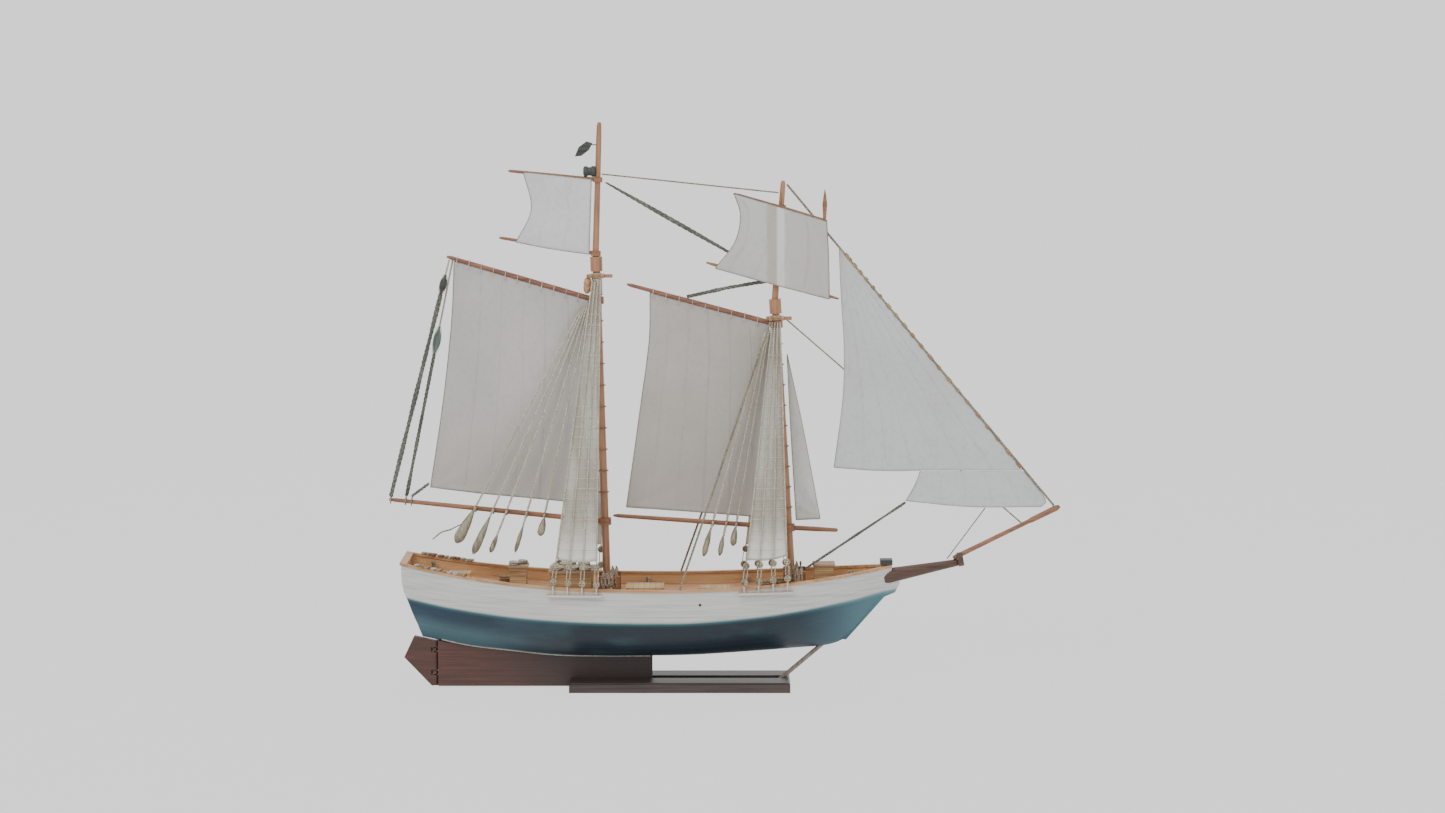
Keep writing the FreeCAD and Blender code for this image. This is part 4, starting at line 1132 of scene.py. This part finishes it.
def make_mast_dressing():
    """Serving under the crosstrees, and a fairlead block, a vane and a throat block at the main mast."""
    foot, _, axis, radius = upright("main_lower_mast")
    serving = Build()
    turn = []
    z = SERVED_FROM
    while z < SERVED_TO:
        a = 2 * pi * (z - SERVED_FROM) / (SERVING * 1.9)
        centre = foot + axis * ((z - foot.z) / axis.z)
        turn.append(centre + Vector((cos(a), sin(a), 0)) * (radius + SERVING))
        z += SERVING * 1.9 / 16
    tube(serving, turn, SERVING, 6)
    for mast in ("main", "fore"):
        _, head, axis, radius = upright(mast + "_lower_mast")
        for i in range(6):
            hoop(serving, head - axis * (0.0088 + i * 0.0011), axis, radius + 0.0006, 0.0006, 20)
    serving.make("mast_serving", "pale_rope")
    for name, look, ends, profile, sides in (("fairlead_block", "dark", FAIRLEAD_ENDS, FAIRLEAD, 20),
                                             ("throat_block", "rail", THROAT_BLOCK_ENDS, THROAT_BLOCK, 16)):
        block = Build()
        lathe(block, *ends, profile, MM, sides)
        block.make(name, look)
    vane = Build()
    slab(vane, VANE, 0.0006)
    tube(vane, [Vector((-0.0745, 0, 0.4905)), Vector((-0.0800, 0, 0.4905))], 0.0005)
    vane.make("wind_vane", "dark", smooth=False)


def slab(build, outline, half):
    """A thin flat plate in the X-Z plane."""
    count = len(outline)
    verts = [Vector((x, side, z)) for side in (-half, half) for x, z in outline]
    faces = [tuple(range(count)), tuple(reversed(range(count, 2 * count)))]
    faces += [((i + 1) % count, i, i + count, (i + 1) % count + count) for i in range(count)]
    build.add(verts, faces)


def make_jib_hanks():
    """Seizings that hold the jib's luff to the outer stay, closer together in its upper half."""
    hanks = Build()
    luff = SAILS["jib"][LUFF]
    head, tack = smooth_line(luff, 1), smooth_line(luff, 0)
    axis = (tack - head).normalized()
    for i in range(HANK_COUNT):
        share = 0.03 + 0.94 * (i / (HANK_COUNT - 1)) ** 1.3
        centre = head.lerp(tack, share) + Vector((0.0006, 0, 0.0005))
        for k in range(random.choice((3, 4, 5))):
            hoop(hanks, centre + axis * (k * 0.0011), axis, HANK_RADIUS, WIRE, 14)
    hanks.make("jib_hanks", "tan_rope")


def make_boom_gear():
    """Loops round the booms that join the lifts of both sides."""
    for mast in ("main", "fore"):
        start, end, thick = max(rods(mast + "_boom"), key=lambda rod: (rod[1] - rod[0]).length)
        axis = (end - start).normalized()
        up = Vector((-axis.z, 0, axis.x))
        up = up if up.z > 0 else -up
        under = thick + 0.0008
        loops = Build()
        for rod in rods(mast + "_lifts"):
            low = min(rod[:2], key=lambda p: p.z)
            on = start + axis * (low - start).dot(axis)
            off = low - on
            if 0.001 < off.z < 0.008:
                tall = max(off.z, under)
                wide = PORT * (max(abs(off.y), thick) + 0.0007)
                ring = oval(on + up * ((tall - under) / 2), wide, up * ((tall + under) / 2), 24)
                closed_tube(loops, ring, axis, 0.00055, 6)
        loops.make(mast + "_boom_loops", "tackle_rope", mast + "_rig")


def make_halyards():
    """The fore peak halyard, and the short tail of the aftermost tackle."""
    halyard = Build()
    rope(halyard, [Vector((x, 0.0, z)) for x, z in HALYARD_PATH], HALYARD_RADIUS, 6, uneven(5))
    halyard.make("fore_peak_halyard", "dark_rope", "fore_rig")
    tail = Build()
    points = []
    for t in [i / 24 for i in range(25)]:
        wave = 0.0011 * sin(t * 11.0) * t
        points.append(Vector((-0.1935 - 0.0300 * t, -0.0066, 0.1505 - 0.0100 * t - 0.0035 * t * t + wave)))
    rope(tail, points, TAIL_RADIUS, 4)
    obj = tail.make("tackle_tail", "tackle_rope", "main_rig")


def make_hull_details():
    """Dark discs of painted shade for the scupper openings in the topsides, and a pale bead along the keel
    joint that paints a highlight there.
    """
    scupper_shades, bead, hull = Build(), Build(), surface("hull")
    for sign in (-1, 1):
        # A dark disc on the topside paints the shade of a scupper opening.
        hit = hull((SCUPPER_SHADE_X, sign * ABOVE, SCUPPER_SHADE_Z), (0, -sign, 0))
        lathe(scupper_shades, hit, hit + PORT * (sign * 0.0004), SCUPPER_SHADE, MM, 14)
        # The pale bead along the keel joint is a painted highlight.
        hits = [hull((HIGHLIGHT_BEAD_FROM_X + i * HIGHLIGHT_BEAD_STEP, sign * HIGHLIGHT_BEAD_Y, 0.0), UP) for i in range(60)]
        tube(bead, [hit - UP * 0.0002 for hit in hits if hit], HIGHLIGHT_BEAD_RADIUS)
    scupper_shades.make("scupper_shades", "dark")
    bead.make("keel_highlight_bead", "highlight_bead")


# ---- camera, light, floor

def place(obj, where, ahead):
    """Puts a camera or light in the scene, looking ahead."""
    obj.location = where
    obj.rotation_euler = ahead.to_track_quat("-Z", "Y").to_euler()
    scene.collection.objects.link(obj)


def make_camera():
    data = bpy.data.cameras.new("camera")
    data.lens = CAMERA_LENS
    data.sensor_width = 36.0
    camera = bpy.data.objects.new("camera", data)
    back = Vector((0, -cos(CAMERA_ELEVATION), sin(CAMERA_ELEVATION)))
    place(camera, CAMERA_AIM + back * CAMERA_DISTANCE, -back)
    scene.camera = camera


def make_studio():
    """Even light and a pale seamless sweep, which glows a little so that no horizon shows."""
    world = bpy.data.worlds.new("studio")
    world.use_nodes = True
    sky = world.node_tree.nodes["Background"].inputs
    sky[0].default_value = (SKY_TONE, SKY_TONE, SKY_TONE, 1)
    sky[1].default_value = SKY_STRENGTH
    scene.world = world
    for name, where, size, power in LIGHTS:
        data = bpy.data.lights.new(name, "AREA")
        data.size = size
        data.energy = power
        place(bpy.data.objects.new(name, data), where, LIGHTS_AIM - Vector(where))
    bend = [radians(d) for d in range(0, 91, 6)]
    profile = [(-6.0, 0.0), *[(2.2 + 1.6 * sin(a), 1.6 - 1.6 * cos(a)) for a in bend], (3.8, 7.0)]
    verts = [(x, y, z) for y, z in profile for x in (-9.0, 9.0)]
    faces = [(2 * i, 2 * i + 1, 2 * i + 3, 2 * i + 2) for i in range(len(profile) - 1)]
    mesh = bpy.data.meshes.new("studio_sweep")
    mesh.from_pydata(verts, [], faces)
    mesh.shade_smooth()
    floor = bpy.data.objects.new("studio_sweep", mesh)
    scene.collection.objects.link(floor)
    n = Nodes("studio_grey", 0.9)
    n.set("Specular IOR Level", 0.0)
    n.set("Emission Color", (1, 1, 1, 1))
    n.set("Emission Strength", SWEEP_GLOW)
    mesh.materials.append(n.finish((SWEEP_TONE, SWEEP_TONE, SWEEP_TONE, 1)))


make_camera()
dress_cad()
make_ropes()
make_sails()
make_deadeyes()
make_blocks()
make_netting()
make_hoops()
make_rope_work()
make_mast_dressing()
make_halyards()
make_jib_hanks()
make_boom_gear()
make_hull_details()
make_studio()
